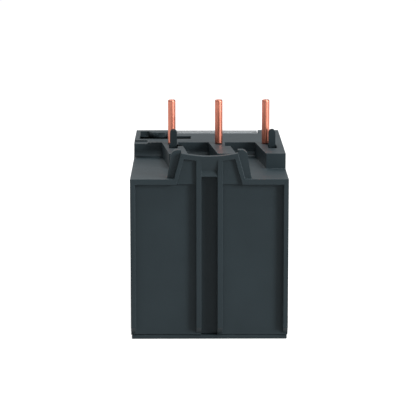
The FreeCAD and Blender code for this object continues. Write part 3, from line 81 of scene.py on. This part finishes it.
FLOOR_HALF = 3.0
FLOOR_GAP = 0.05 * MM
PAPER_ROUGHNESS = 0.9
SENSOR_WIDTH = 36.0
AIM = (0.0, 0.0, 0.03)

FINISH_NAMES = {
    "housing_plastic": "Housing plastic",
    "carrier_plastic": "Carrier plastic",
    "clear_plastic": "Clear plastic",
    "copper": "Drawn copper",
    "bimetal_metal": "Bimetal",
    "sleeve_fibre": "Sleeve fibre",
    "heater_strip": "Heater strip",
    "outlet_brass": "Terminal brass",
    "zinc_steel": "Zinc steel",
    "mechanism_plastic": "Mechanism plastic",
    "dial_plastic": "Dial plastic",
    "reset_blue": "Reset plastic",
    "stop_red": "Stop plastic",
    "test_plastic": "Test plastic",
    "marks": "Dial ink",
}


def colour(name, description, default):
    return FloatVectorProperty(name=name, description=description, default=default,
                               size=3, min=0.0, max=1.0, subtype="COLOR")


def length(name, description, default):
    return FloatProperty(name=name, description=description, default=default,
                         min=0.0, precision=5, unit="LENGTH", subtype="DISTANCE")


def share(name, description, default):
    return FloatProperty(name=name, description=description, default=default,
                         min=0.0, max=1.0, subtype="FACTOR")


def watts(name, description, default):
    return FloatProperty(name=name, description=description, default=default,
                         min=0.0, unit="POWER")


def angle(name, description, default):
    return FloatProperty(name=name, description=description, default=default, subtype="ANGLE")


class RelayFinish(bpy.types.PropertyGroup):
    housing: colour("Housing", "Anthracite of the two housings and the bottom plate",
                    (0.026, 0.038, 0.044))
    carrier: colour("Carrier", "Grey of the inner pin carrier and its pegs", (0.021, 0.031, 0.036))
    cover: colour("Cover tint", "Smoke tint of the clear cover", (0.46, 0.50, 0.52))
    copper: colour("Copper", "Drawn copper of the pins", (0.66, 0.25, 0.175))
    brass: colour("Brass", "Stamped brass of the terminals", (0.72, 0.52, 0.22))
    zinc: colour("Zinc", "Zinc plating of screws and washers", (0.60, 0.60, 0.57))
    bimetal: colour("Bimetal", "Rolled bimetal strips", (0.50, 0.47, 0.43))
    mechanism: colour("Mechanism", "Natural plastic of levers and slides", (0.62, 0.56, 0.44))
    dial: colour("Dial", "White of the setting dial", (0.78, 0.78, 0.74))
    reset: colour("Reset", "Blue of the reset knob", (0.012, 0.07, 0.30))
    stop: colour("Stop", "Red of the stop button", (0.42, 0.012, 0.010))
    marks: colour("Marks", "Ink of the numbers and ticks on the dial", (0.015, 0.015, 0.017))
    grain: length("Grain", "Size of one pit of the spark-eroded mould texture", 0.00022)
    sheen: share("Sheen", "How strongly the mouldings mirror their surroundings", 0.15)


class RelaySizes(bpy.types.PropertyGroup):
    edge_round: length("Edge rounding", "Radius on the outer edges of the mouldings", 0.00014)
    shortest_edge: length("Shortest edge", "Edges of a pierced wall below this length stay crisp",
                          0.0009)
    fine_round: length("Fine rounding", "Radius on the edges of the small pieces", 0.00010)
    pin_round: length("Pin rounding", "Radius at the tip of the copper pins", 0.00028)
    button_round: length("Button rounding", "Radius on the rims of the two buttons", 0.00018)
    dish_depth: length("Dish depth", "Depth of the finger dish in the stop button", 0.00055)
    number_height: length("Number height", "Height of the numbers on the dial", 0.00115)
    number_count: IntProperty(name="Numbers", description="How many numbers stand round the dial",
                              default=6, min=2)
    first_value: FloatProperty(name="First value", default=1.6,
                               description="Current in amperes at the low end of the dial")
    value_step: FloatProperty(name="Value step", default=0.2,
                              description="Current in amperes from one number to the next")
    scale_sweep: angle("Scale sweep", "Angle from the first number to the last",
                       math.radians(240.0))
    tick_length: length("Tick length", "Length of the ticks on the dial", 0.00060)
    tick_width: length("Tick width", "Width of the ticks on the dial", 0.00014)
    ink: length("Ink", "Thickness of the printed numbers and marks", 0.00004)
    pointer: length("Pointer", "Size of the pointer beside the dial", 0.00055)


class RelayStage(bpy.types.PropertyGroup):
    lens: FloatProperty(name="Lens", description="Focal length of the camera, on a 36 mm sensor",
                        default=0.16247, unit="CAMERA")
    eye: FloatVectorProperty(name="Eye", description="Place of the camera", size=3, subtype="XYZ",
                             unit="LENGTH", default=(0.005066, 0.55839, 0.13387))
    pitch: angle("Pitch", "How far the camera looks down", math.radians(10.31))
    yaw: angle("Yaw", "How far the camera turns to its right", 0.0089)
    world_light: FloatProperty(name="World light", default=0.36, min=0.0,
                               description="Strength of the even light round the object")
    key_light: watts("Key light", "Power of the lamp above", 3.0)
    side_light: watts("Side light", "Power of the lamp beside the rear", 5.0)
    front_light: watts("Front light", "Power of the lamp before the dial", 2.5)
    paper: colour("Paper", "Colour of the floor and the backdrop", (1.0, 1.0, 1.0))
    paper_glow: share("Paper glow", "Light added to the floor for rays that see it", 0.90)
    wall_tone: share("Wall tone", "Strength of the walls at eye level in reflections", 0.22)
    ceiling_tone: share("Ceiling tone", "Strength of the ceiling in reflections", 0.8)
    floor_tone: share("Floor tone", "Share of the light that the floor throws back", 0.30)


# ---------------------------------------------------------------- materials
def new_material(name):
    material = bpy.data.materials.new(name)
    material.use_nodes = True
    return material.node_tree, material.node_tree.nodes["Principled BSDF"]


def joined(tree, operation, first, second):
    """A Math node over an output and an output or a number."""
    node = tree.nodes.new("ShaderNodeMath")
    node.operation = operation
    tree.links.new(first, node.inputs[0])
    if isinstance(second, float):
        node.inputs[1].default_value = second
    else:
        tree.links.new(second, node.inputs[1])
    return node.outputs["Value"]


def object_space(tree, scale=(1.0, 1.0, 1.0)):
    """Object coordinates, stretched by a Mapping node."""
    source = tree.nodes.new("ShaderNodeTexCoord")
    mapping = tree.nodes.new("ShaderNodeMapping")
    mapping.inputs["Scale"].default_value = scale
    tree.links.new(source.outputs["Object"], mapping.inputs["Vector"])
    return mapping.outputs["Vector"]


def noise(tree, vector, scale, detail, roughness=0.55):
    texture = tree.nodes.new("ShaderNodeTexNoise")
    texture.inputs["Scale"].default_value = scale
    texture.inputs["Detail"].default_value = detail
    texture.inputs["Roughness"].default_value = roughness
    tree.links.new(vector, texture.inputs["Vector"])
    return texture.outputs["Fac"]


def ramp(tree, factor, stops):
    """Colours from the first stop to the last, spread over the factor."""
    node = tree.nodes.new("ShaderNodeValToRGB")
    elements = node.color_ramp.elements
    elements[0].position, elements[0].color = stops[0][0], (*stops[0][1], 1.0)
    elements[1].position, elements[1].color = stops[-1][0], (*stops[-1][1], 1.0)
    for position, tint in stops[1:-1]:
        elements.new(position).color = (*tint, 1.0)
    tree.links.new(factor, node.inputs["Fac"])
    return node.outputs["Color"]


def spread(tree, factor, low, high):
    """The factor, from 0 to 1, spread from low to high."""
    node = tree.nodes.new("ShaderNodeMapRange")
    node.inputs["To Min"].default_value = low
    node.inputs["To Max"].default_value = high
    tree.links.new(factor, node.inputs["Value"])
    return node.outputs["Result"]


def bump(tree, shader, height, distance):
    node = tree.nodes.new("ShaderNodeBump")
    node.inputs["Distance"].default_value = distance
    tree.links.new(height, node.inputs["Height"])
    tree.links.new(node.outputs["Normal"], shader.inputs["Normal"])


def shade(base, factor):
    """The colour made darker or lighter by a factor."""
    return tuple(min(1.0, channel * factor) for channel in base)


def mouldable(slot, base, grain, roughness=(0.36, 0.46), depth=0.010 * MM, variation=0.08,
              sheen=0.5):
    """Moulded thermoplastic: fine eroded grain, faint flow clouds and rubbed sheen."""
    clouds_per_metre, rubs_per_metre, refraction = 60.0, 190.0, 1.5
    tree, shader = new_material(FINISH_NAMES[slot])
    place = object_space(tree)
    clouds = noise(tree, place, clouds_per_metre, detail=2.0)
    stops = [(0.3, shade(base, 1 - variation)), (0.7, shade(base, 1 + variation))]
    tree.links.new(ramp(tree, clouds, stops), shader.inputs["Base Color"])
    rubbed = noise(tree, place, rubs_per_metre, detail=4.0)
    tree.links.new(spread(tree, rubbed, *roughness), shader.inputs["Roughness"])
    bump(tree, shader, noise(tree, place, 1.0 / grain, detail=2.0), depth)
    shader.inputs["IOR"].default_value = refraction
    shader.inputs["Specular IOR Level"].default_value = sheen


def clear_plastic(slot, tint):
    """Clear polycarbonate with a faint wave in its skin and fine handling haze."""
    haze_per_metre, waves_per_metre, refraction = 240.0, 90.0, 1.49
    clearest, haziest, wave_depth = 0.03, 0.12, 0.02 * MM
    tree, shader = new_material(FINISH_NAMES[slot])
    shader.inputs["Base Color"].default_value = (*tint, 1.0)
    shader.inputs["Transmission Weight"].default_value = 1.0
    shader.inputs["IOR"].default_value = refraction
    place = object_space(tree)
    haze = spread(tree, noise(tree, place, haze_per_metre, detail=3.0), clearest, haziest)
    tree.links.new(haze, shader.inputs["Roughness"])
    bump(tree, shader, noise(tree, place, waves_per_metre, detail=1.0), wave_depth)


def metal(slot, base, stretch, lines_per_metre, roughness, depth, tarnish=0.82,
          tone=(1.0, 1.0, 1.0)):
    """Worked metal: lines drawn out along one direction, over slow tarnish clouds."""
    clouds_per_metre = 240.0
    tree, shader = new_material(FINISH_NAMES[slot])
    shader.inputs["Metallic"].default_value = 1.0
    lines = noise(tree, object_space(tree, stretch), lines_per_metre, detail=3.0, roughness=0.6)
    clouds = noise(tree, object_space(tree), clouds_per_metre, detail=3.0)
    dull = tuple(channel * tarnish * part for channel, part in zip(base, tone))
    tint = ramp(tree, clouds, [(0.32, dull), (0.62, base)])
    tree.links.new(tint, shader.inputs["Base Color"])
    tree.links.new(spread(tree, lines, *roughness), shader.inputs["Roughness"])
    bump(tree, shader, lines, depth)


def bands(tree, place, direction, scale):
    """Soft parallel bands across one direction."""
    wave = tree.nodes.new("ShaderNodeTexWave")
    wave.bands_direction = direction
    wave.inputs["Scale"].default_value = scale
    tree.links.new(place, wave.inputs["Vector"])
    return wave.outputs["Fac"]


def woven_fibre(slot, base):
    """Plaited glass fibre: two sets of fine bands that cross."""
    across_scale, along_scale, strand_depth, roughness = 1400.0, 900.0, 0.06 * MM, 0.85
    tree, shader = new_material(FINISH_NAMES[slot])
    place = object_space(tree)
    across = bands(tree, place, "DIAGONAL", across_scale)
    strands = joined(tree, "MULTIPLY", across, bands(tree, place, "Z", along_scale))
    tint = ramp(tree, strands, [(0.1, shade(base, 0.7)), (0.7, base)])
    tree.links.new(tint, shader.inputs["Base Color"])
    shader.inputs["Roughness"].default_value = roughness
    bump(tree, shader, strands, strand_depth)


def heat_tinted(slot, base):
    """Resistance strip, blued and browned by its own heat."""
    clouds_per_metre, scale_per_metre, scale_depth = 420.0, 2600.0, 0.006 * MM
    smoothest, roughest = 0.3, 0.5
    brown, blue = (0.30, 0.20, 0.13), (0.20, 0.24, 0.34)
    tree, shader = new_material(FINISH_NAMES[slot])
    shader.inputs["Metallic"].default_value = 1.0
    place = object_space(tree)
    clouds = noise(tree, place, clouds_per_metre, detail=2.0)
    tree.links.new(ramp(tree, clouds, [(0.3, brown), (0.5, base), (0.68, blue)]),
                   shader.inputs["Base Color"])
    tree.links.new(spread(tree, clouds, smoothest, roughest), shader.inputs["Roughness"])
    bump(tree, shader, noise(tree, place, scale_per_metre, detail=2.0), scale_depth)


def make_materials(finish):
    """One material for each slot of the record, and one for the ink of the marks."""
    grain, glossy = finish.grain, (0.22, 0.34)
    level, upright, sideways = (1.0, 1.0, 1.0), (1.0, 1.0, 0.02), (0.02, 1.0, 1.0)
    natural, drawn, stamped = 0.008 * MM, 0.006 * MM, 0.005 * MM
    polished, printed = 0.004 * MM, 0.003 * MM
    mouldable("housing_plastic", tuple(finish.housing), grain, sheen=finish.sheen)
    mouldable("carrier_plastic", tuple(finish.carrier), grain, sheen=finish.sheen)
    clear_plastic("clear_plastic", tuple(finish.cover))
    metal("copper", tuple(finish.copper), upright, lines_per_metre=5200.0,
          roughness=(0.30, 0.46), depth=drawn, tarnish=0.86, tone=(1.0, 0.92, 0.9))
    metal("bimetal_metal", tuple(finish.bimetal), upright, lines_per_metre=4200.0,
          roughness=(0.28, 0.5), depth=drawn)
    woven_fibre("sleeve_fibre", (0.62, 0.57, 0.44))
    heat_tinted("heater_strip", (0.36, 0.31, 0.28))
    metal("outlet_brass", tuple(finish.brass), sideways, lines_per_metre=3000.0,
          roughness=(0.22, 0.4), depth=stamped)
    metal("zinc_steel", tuple(finish.zinc), level, lines_per_metre=2400.0,
          roughness=(0.24, 0.44), depth=drawn, tarnish=0.88, tone=(0.98, 1.0, 1.05))
    mouldable("mechanism_plastic", tuple(finish.mechanism), grain, roughness=(0.4, 0.55),
              depth=natural, variation=0.05)
    mouldable("dial_plastic", tuple(finish.dial), grain, roughness=(0.28, 0.38),
              depth=polished, variation=0.03)
    mouldable("reset_blue", tuple(finish.reset), grain, glossy, polished, variation=0.06)
    mouldable("stop_red", tuple(finish.stop), grain, glossy, polished, variation=0.06)
    mouldable("test_plastic", tuple(finish.dial), grain, roughness=(0.3, 0.42),
              depth=polished, variation=0.03)
    mouldable("marks", tuple(finish.marks), grain, roughness=(0.45, 0.6),
              depth=printed, variation=0.05)


def material_for(slot):
    """The finish of a material slot, or the ink of the printed marks."""
    return bpy.data.materials[FINISH_NAMES[slot]]


# ---------------------------------------------------------------- mesh tools
def slot_of(node):
    for part in frame["record"]["subparts"]:
        if part["node"] == node:
            return part["material_slot"]
    raise KeyError(node)


def body_with(node):
    for body, nodes in frame["record"]["behaviour"]["bodies"].items():
        if node in nodes:
            return body
    raise KeyError(node)


def copy_of(node):
    """The node's own mesh with its loose triangles merged into clean faces."""
    bm = bmesh.new()
    bm.from_mesh(frame["nodes"][node].data)
    bmesh.ops.remove_doubles(bm, verts=bm.verts, dist=MERGE_DISTANCE)
    bmesh.ops.dissolve_limit(bm, angle_limit=FLAT_ANGLE, verts=bm.verts, edges=bm.edges)
    return bm


def split_large_faces(bm):
    """Many-cornered faces, some with holes bridged into their outline, become triangles."""
    large = [face for face in bm.faces if len(face.verts) > 4]
    bmesh.ops.triangulate(bm, faces=large, quad_method="BEAUTY", ngon_method="EAR_CLIP")


def finish_piece(bm, name, slot, body, finish=None):
    """Turns the mesh into a piece with its finish, which rides on its body."""
    mesh = bpy.data.meshes.new(name)
    for face in bm.faces:
        face.smooth = True
    bm.to_mesh(mesh)
    bm.free()
    mesh.set_sharp_from_angle(angle=SMOOTH_ANGLE)
    obj = bpy.data.objects.new(name, mesh)
    bpy.context.scene.collection.objects.link(obj)
    obj.data.materials.append(material_for(finish or slot))
    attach(obj, body)
    return obj


def round_edges(obj, width, segments, limit):
    modifier = obj.modifiers.new(ROUNDING, "BEVEL")
    modifier.width = width
    modifier.segments = segments
    modifier.limit_method = limit
    modifier.angle_limit = SHARP_ANGLE
    modifier.use_clamp_overlap = False
    weighted = obj.modifiers.new("Flat faces stay flat", "WEIGHTED_NORMAL")
    weighted.keep_sharp = True


def mark_long_edges(bm, shortest):
    """Marks the long sharp edges to be rounded: round holes in a wall keep their crisp rims."""
    weight = bm.edges.layers.float.new("bevel_weight_edge")
    for edge in bm.edges:
        if edge.calc_length() <= shortest or not edge.is_manifold:
            continue
        if edge.calc_face_angle() > SHARP_ANGLE:
            edge[weight] = 1.0


def soften(node, width, segments=3, ending="moulding", bm=None, shortest=0.0):
    """A copy of the node with rounded edges stands in for it."""
    bm = bm or copy_of(node)
    split_large_faces(bm)
    if shortest:
        mark_long_edges(bm, shortest)
    obj = finish_piece(bm, node + "_" + ending, slot_of(node), body_with(node))
    round_edges(obj, width, segments, "WEIGHT" if shortest else "ANGLE")
    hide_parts(node)


def front_face(bm):
    """The face that looks towards -Y and lies furthest forward."""
    front = min(vert.co.y for vert in bm.verts)
    return next(face for face in bm.faces
                if face.normal.y < FACING_FRONT
                and abs(face.calc_center_median().y - front) < LEVEL_TOLERANCE)


def dish(bm, depth):
    """Sinks the round front face in rings, as a hollow for a fingertip."""
    face = front_face(bm)
    radius = max((vert.co - face.calc_center_median()).length for vert in face.verts)
    step = radius / (DISH_RINGS + 1)
    level = 0.0
    for ring in range(1, DISH_RINGS + 1):
        lower = depth * math.sin(0.5 * math.pi * ring / DISH_RINGS)
        bmesh.ops.inset_region(bm, faces=[face], thickness=step, depth=level - lower,
                               use_even_offset=True)
        level = lower


def add_text(bm, text, height, thickness, place):
    """Adds the text as a thin raised mesh; its front faces +Z before it is placed."""
    curve = bpy.data.curves.new("Number", "FONT")
    curve.body = text
    curve.size = height
    curve.extrude = thickness / 2
    curve.resolution_u = NUMBER_CURVE_STEPS
    curve.align_x = "CENTER"
    curve.align_y = "CENTER"
    obj = bpy.data.objects.new("Number", curve)
    bpy.context.scene.collection.objects.link(obj)
    bpy.context.view_layer.update()
    depsgraph = bpy.context.evaluated_depsgraph_get()
    mesh = bpy.data.meshes.new_from_object(obj.evaluated_get(depsgraph))
    mesh.transform(place)
    bm.from_mesh(mesh)
    bpy.data.objects.remove(obj)
    bpy.data.curves.remove(curve)
    bpy.data.meshes.remove(mesh)


def add_bar(bm, width, height, thickness, place, corners=4):
    """Adds a thin raised bar, or with three corners a pointer; it faces +Z before it is placed."""
    half_diagonal = math.sqrt(0.5)
    made = bmesh.ops.create_circle(bm, cap_ends=True, segments=corners, radius=half_diagonal)
    if corners == 4:
        bmesh.ops.rotate(bm, verts=made["verts"], matrix=Matrix.Rotation(math.pi / 4, 3, "Z"))
    bmesh.ops.scale(bm, verts=made["verts"], vec=(width, height, 1.0))
    face = made["verts"][0].link_faces[0]
    grown = bmesh.ops.extrude_face_region(bm, geom=[face])
    lifted = [item for item in grown["geom"] if isinstance(item, bmesh.types.BMVert)]
    bmesh.ops.translate(bm, verts=lifted, vec=(0.0, 0.0, thickness))
    bmesh.ops.transform(bm, verts=made["verts"] + lifted, matrix=place)


def on_front(x, y, z, turn=0.0, radius=0.0):
    """Where a mark stands on a face that looks towards -Y: above the point by the radius,
    then turned clockwise round it as seen from the front."""
    return (Matrix.Translation((x, y, z)) @ Matrix.Rotation(turn, 4, "Y")
            @ Matrix.Translation((0.0, 0.0, radius)) @ Matrix.Rotation(math.pi / 2, 4, "X"))


def level_of_front(node):
    """How far forward the node reaches, along Y."""
    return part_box(node)[0][1]


# ---------------------------------------------------------------- operators
class RELAY_OT_finishes(bpy.types.Operator):
    """Makes the materials and gives each piece of the relay its own"""
    bl_idname = "relay.finishes"
    bl_label = "Finishes"

    def execute(self, context):
        make_materials(context.scene.relay_finish)
        for node, obj in frame["nodes"].items():
            obj.data.materials.clear()
            obj.data.materials.append(material_for(slot_of(node)))
        return {"FINISHED"}


class RELAY_OT_housings(bpy.types.Operator):
    """Rounds the edges of the housings, the bottom plate and the pin carrier"""
    bl_idname = "relay.housings"
    bl_label = "Housings"

    def execute(self, context):
        sizes = context.scene.relay_sizes
        soften("rear_housing", sizes.edge_round, shortest=sizes.shortest_edge)
        soften("front_housing", sizes.edge_round, shortest=sizes.shortest_edge)
        soften("bottom_plate", sizes.edge_round, segments=2)
        soften("pin_carrier", sizes.fine_round)
        return {"FINISHED"}


class RELAY_OT_screws(bpy.types.Operator):
    """Rounds the terminal screws and their clamping washers"""
    bl_idname = "relay.screws"
    bl_label = "Screws"

    def execute(self, context):
        sizes = context.scene.relay_sizes
        for row in ("power", "auxiliary"):
            soften(row + "_screws", sizes.fine_round, ending="turned")
            soften(row + "_washers", sizes.fine_round / 2, segments=2, ending="stamped")
        return {"FINISHED"}


class RELAY_OT_terminals(bpy.types.Operator):
    """Rounds the stamped edges of the outlet bars and the fixed contacts"""
    bl_idname = "relay.terminals"
    bl_label = "Terminals"

    def execute(self, context):
        sizes = context.scene.relay_sizes
        for pole in POLES:
            soften("outlet_bar_" + pole, sizes.fine_round / 2, segments=2, ending="stamped")
        for contact in ("break_contact", "make_contact"):
            for part in ("common", "fixed"):
                soften(contact + "_" + part, sizes.fine_round / 2, segments=2, ending="stamped")
        return {"FINISHED"}


class RELAY_OT_controls(bpy.types.Operator):
    """Rounds the dial, the reset knob and the test slide, and dishes the stop button"""
    bl_idname = "relay.controls"
    bl_label = "Controls"

    def execute(self, context):
        sizes = context.scene.relay_sizes
        soften("setting_dial", sizes.fine_round)
        soften("reset_knob", sizes.button_round)
        soften("reset_stem", sizes.fine_round, segments=2)
        soften("test_slide", sizes.fine_round)
        button = copy_of("stop_button")
        dish(button, sizes.dish_depth)
        soften("stop_button", sizes.button_round, bm=button)
        return {"FINISHED"}


class RELAY_OT_springs(bpy.types.Operator):
    """Puts copies of the two coiled return springs, each with a mesh of its own, in place of the
    parts
    """
    bl_idname = "relay.springs"
    bl_label = "Springs"

    def execute(self, context):
        for spring, joint in (("reset_spring", "reset_press"), ("stop_spring", "stop_press")):
            coil = finish_piece(copy_of(spring), spring + "_coil", slot_of(spring),
                                body_with(spring))
            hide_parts(spring)
            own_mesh(coil)
        return {"FINISHED"}


class RELAY_OT_dial_marks(bpy.types.Operator):
    """Prints the numbers and ticks on the dial and the pointer beside it"""
    bl_idname = "relay.dial_marks"
    bl_label = "Dial marks"

    def execute(self, context):
        sizes = context.scene.relay_sizes
        low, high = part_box("setting_dial")
        x, z = (low[0] + high[0]) / 2, (low[2] + high[2]) / 2
        rim = (high[0] - low[0]) / 2
        face = low[1]
        step = sizes.scale_sweep / (sizes.number_count - 1)
        bm = bmesh.new()
        for index in range(sizes.number_count):
            turn = index * step - sizes.scale_sweep / 2
            value = sizes.first_value + index * sizes.value_step
            add_text(bm, "%.1f" % value, sizes.number_height, sizes.ink,
                     on_front(x, face - sizes.ink / 2, z, turn,
                              rim - NUMBER_INSET * sizes.number_height))
            if index:
                add_bar(bm, sizes.tick_width, sizes.tick_length, sizes.ink,
                        on_front(x, face, z, turn - step / 2, rim - sizes.tick_length))
        bmesh.ops.remove_doubles(bm, verts=bm.verts, dist=MARK_MERGE_DISTANCE)
        bmesh.ops.recalc_face_normals(bm, faces=bm.faces)
        finish_piece(bm, "dial_numbers", "dial_plastic", "setting_dial", finish="marks")
        bm = bmesh.new()
        add_bar(bm, sizes.pointer, sizes.pointer, sizes.ink,
                on_front(x, level_of_front("front_housing"), z + rim + POINTER_GAP * sizes.pointer),
                corners=3)
        bmesh.ops.recalc_face_normals(bm, faces=bm.faces)
        finish_piece(bm, "dial_pointer", "test_plastic", "housing")
        return {"FINISHED"}


class RELAY_OT_cover(bpy.types.Operator):
    """Rounds the edges of the hinged clear cover"""
    bl_idname = "relay.cover"
    bl_label = "Clear cover"

    def execute(self, context):
        soften("clear_cover", context.scene.relay_sizes.edge_round)
        return {"FINISHED"}


class RELAY_OT_pins(bpy.types.Operator):
    """Rounds the tips and the edges of the copper pins"""
    bl_idname = "relay.pins"
    bl_label = "Copper pins"

    def execute(self, context):
        sizes = context.scene.relay_sizes
        for pole in POLES:
            soften("pin_" + pole, sizes.pin_round)
        return {"FINISHED"}


class RELAY_OT_stage(bpy.types.Operator):
    """Sets up the floor, the backdrop, the lamps and the camera"""
    bl_idname = "relay.stage"
    bl_label = "Stage"

    def execute(self, context):
        stage = context.scene.relay_stage
        make_floor(stage)
        make_world(stage)
        make_lamp("Overhead lamp", (-0.18, 0.10, 0.65), 0.30, stage.key_light, shine=0.3)
        make_lamp("Side lamp", (-0.62, 0.50, 0.25), 0.30, stage.side_light, shine=1.0)
        make_lamp("Front lamp", (0.25, -0.50, 0.60), 0.40, stage.front_light, shine=0.2)
        make_camera(stage)
        return {"FINISHED"}


def make_floor(stage):
    """White to the rays that see it, with the object's shadow; grey to the light it returns."""
    bm = bmesh.new()
    bmesh.ops.create_grid(bm, x_segments=1, y_segments=1, size=FLOOR_HALF)
    bmesh.ops.translate(bm, verts=bm.verts, vec=(0.0, 0.0, -FLOOR_GAP))
    mesh = bpy.data.meshes.new("Floor")
    bm.to_mesh(mesh)
    bm.free()
    floor = bpy.data.objects.new("Floor", mesh)
    bpy.context.scene.collection.objects.link(floor)
    tree, shader = new_material("Paper")
    shader.inputs["Base Color"].default_value = (*shade(stage.paper, stage.floor_tone), 1.0)
    shader.inputs["Roughness"].default_value = PAPER_ROUGHNESS
    shader.inputs["Specular IOR Level"].default_value = 0.0
    shader.inputs["Emission Color"].default_value = (*stage.paper, 1.0)
    path = tree.nodes.new("ShaderNodeLightPath").outputs
    seen = joined(tree, "MAXIMUM", path["Is Camera Ray"], path["Is Transmission Ray"])
    seen = joined(tree, "MAXIMUM", seen, path["Is Glossy Ray"])
    glow = joined(tree, "MULTIPLY", seen, stage.paper_glow)
    tree.links.new(glow, shader.inputs["Emission Strength"])
    floor.data.materials.append(bpy.data.materials["Paper"])


def make_world(stage):
    """Even light, white behind the object; mirrored, the ceiling is bright and the walls dim."""
    world = bpy.data.worlds.new("Studio")
    bpy.context.scene.world = world
    world.use_nodes = True
    tree = world.node_tree
    lit = tree.nodes["Background"]
    lit.inputs["Color"].default_value = (*stage.paper, 1.0)
    path = tree.nodes.new("ShaderNodeLightPath").outputs
    direction = tree.nodes.new("ShaderNodeTexCoord")
    height = tree.nodes.new("ShaderNodeSeparateXYZ")
    tree.links.new(direction.outputs["Generated"], height.inputs["Vector"])
    tone = spread(tree, height.outputs["Z"], stage.wall_tone, stage.ceiling_tone)
    mirrored = joined(tree, "MULTIPLY", path["Is Glossy Ray"], tone)
    seen = joined(tree, "MAXIMUM", path["Is Camera Ray"], path["Is Transmission Ray"])
    strength = joined(tree, "MAXIMUM", joined(tree, "MAXIMUM", seen, mirrored), stage.world_light)
    tree.links.new(strength, lit.inputs["Strength"])


def make_lamp(name, place, size, power, shine):
    """A round lamp that faces the relay; shine is how much of it the glossy surfaces mirror."""
    lamp = bpy.data.lights.new(name, "AREA")
    lamp.shape = "DISK"
    lamp.size = size
    lamp.energy = power
    lamp.specular_factor = shine
    obj = bpy.data.objects.new(name, lamp)
    bpy.context.scene.collection.objects.link(obj)
    obj.location = place
    heading = Vector(AIM) - Vector(place)
    obj.rotation_euler = heading.to_track_quat("-Z", "Y").to_euler()


def make_camera(stage):
    camera = bpy.data.cameras.new("Camera")
    camera.sensor_width = SENSOR_WIDTH
    camera.lens = stage.lens / MM
    obj = bpy.data.objects.new("Camera", camera)
    bpy.context.scene.collection.objects.link(obj)
    obj.location = stage.eye
    flat = math.cos(stage.pitch)
    heading = Vector((-math.sin(stage.yaw) * flat, -math.cos(stage.yaw) * flat,
                      -math.sin(stage.pitch)))
    obj.rotation_euler = heading.to_track_quat("-Z", "Y").to_euler()
    bpy.context.scene.camera = obj


class RELAY_PT_sidebar(bpy.types.Panel):
    """Shows the settings of the relay and the operators that dress it"""
    bl_idname = "RELAY_PT_sidebar"
    bl_label = "Overload relay"
    bl_space_type = "VIEW_3D"
    bl_region_type = "UI"
    bl_category = "Relay"

    def draw(self, context):
        for name, _ in GROUPS:
            group = getattr(context.scene, name)
            box = self.layout.box()
            for prop in group.bl_rna.properties:
                if not prop.is_readonly and prop.identifier != "name":
                    box.prop(group, prop.identifier)
        for operator in OPERATORS:
            self.layout.operator(operator.bl_idname)


OPERATORS = (RELAY_OT_finishes, RELAY_OT_housings, RELAY_OT_screws, RELAY_OT_terminals,
             RELAY_OT_controls, RELAY_OT_springs, RELAY_OT_dial_marks, RELAY_OT_cover,
             RELAY_OT_pins, RELAY_OT_stage)
GROUPS = (("relay_finish", RelayFinish), ("relay_sizes", RelaySizes), ("relay_stage", RelayStage))


def register():
    for name, group in GROUPS:
        bpy.utils.register_class(group)
        setattr(bpy.types.Scene, name, PointerProperty(type=group))
    for operator in OPERATORS:
        bpy.utils.register_class(operator)
    bpy.utils.register_class(RELAY_PT_sidebar)


def unregister():
    bpy.utils.unregister_class(RELAY_PT_sidebar)
    for operator in reversed(OPERATORS):
        bpy.utils.unregister_class(operator)
    for name, group in reversed(GROUPS):
        delattr(bpy.types.Scene, name)
        bpy.utils.unregister_class(group)


def main():
    register()
    bpy.context.scene.view_settings.view_transform = "Standard"
    bpy.ops.relay.finishes()
    bpy.ops.relay.housings()
    bpy.ops.relay.screws()
    bpy.ops.relay.terminals()
    bpy.ops.relay.controls()
    bpy.ops.relay.springs()
    bpy.ops.relay.dial_marks()
    bpy.ops.relay.cover()
    bpy.ops.relay.pins()
    bpy.ops.relay.stage()


if __name__ == "__main__":
    main()
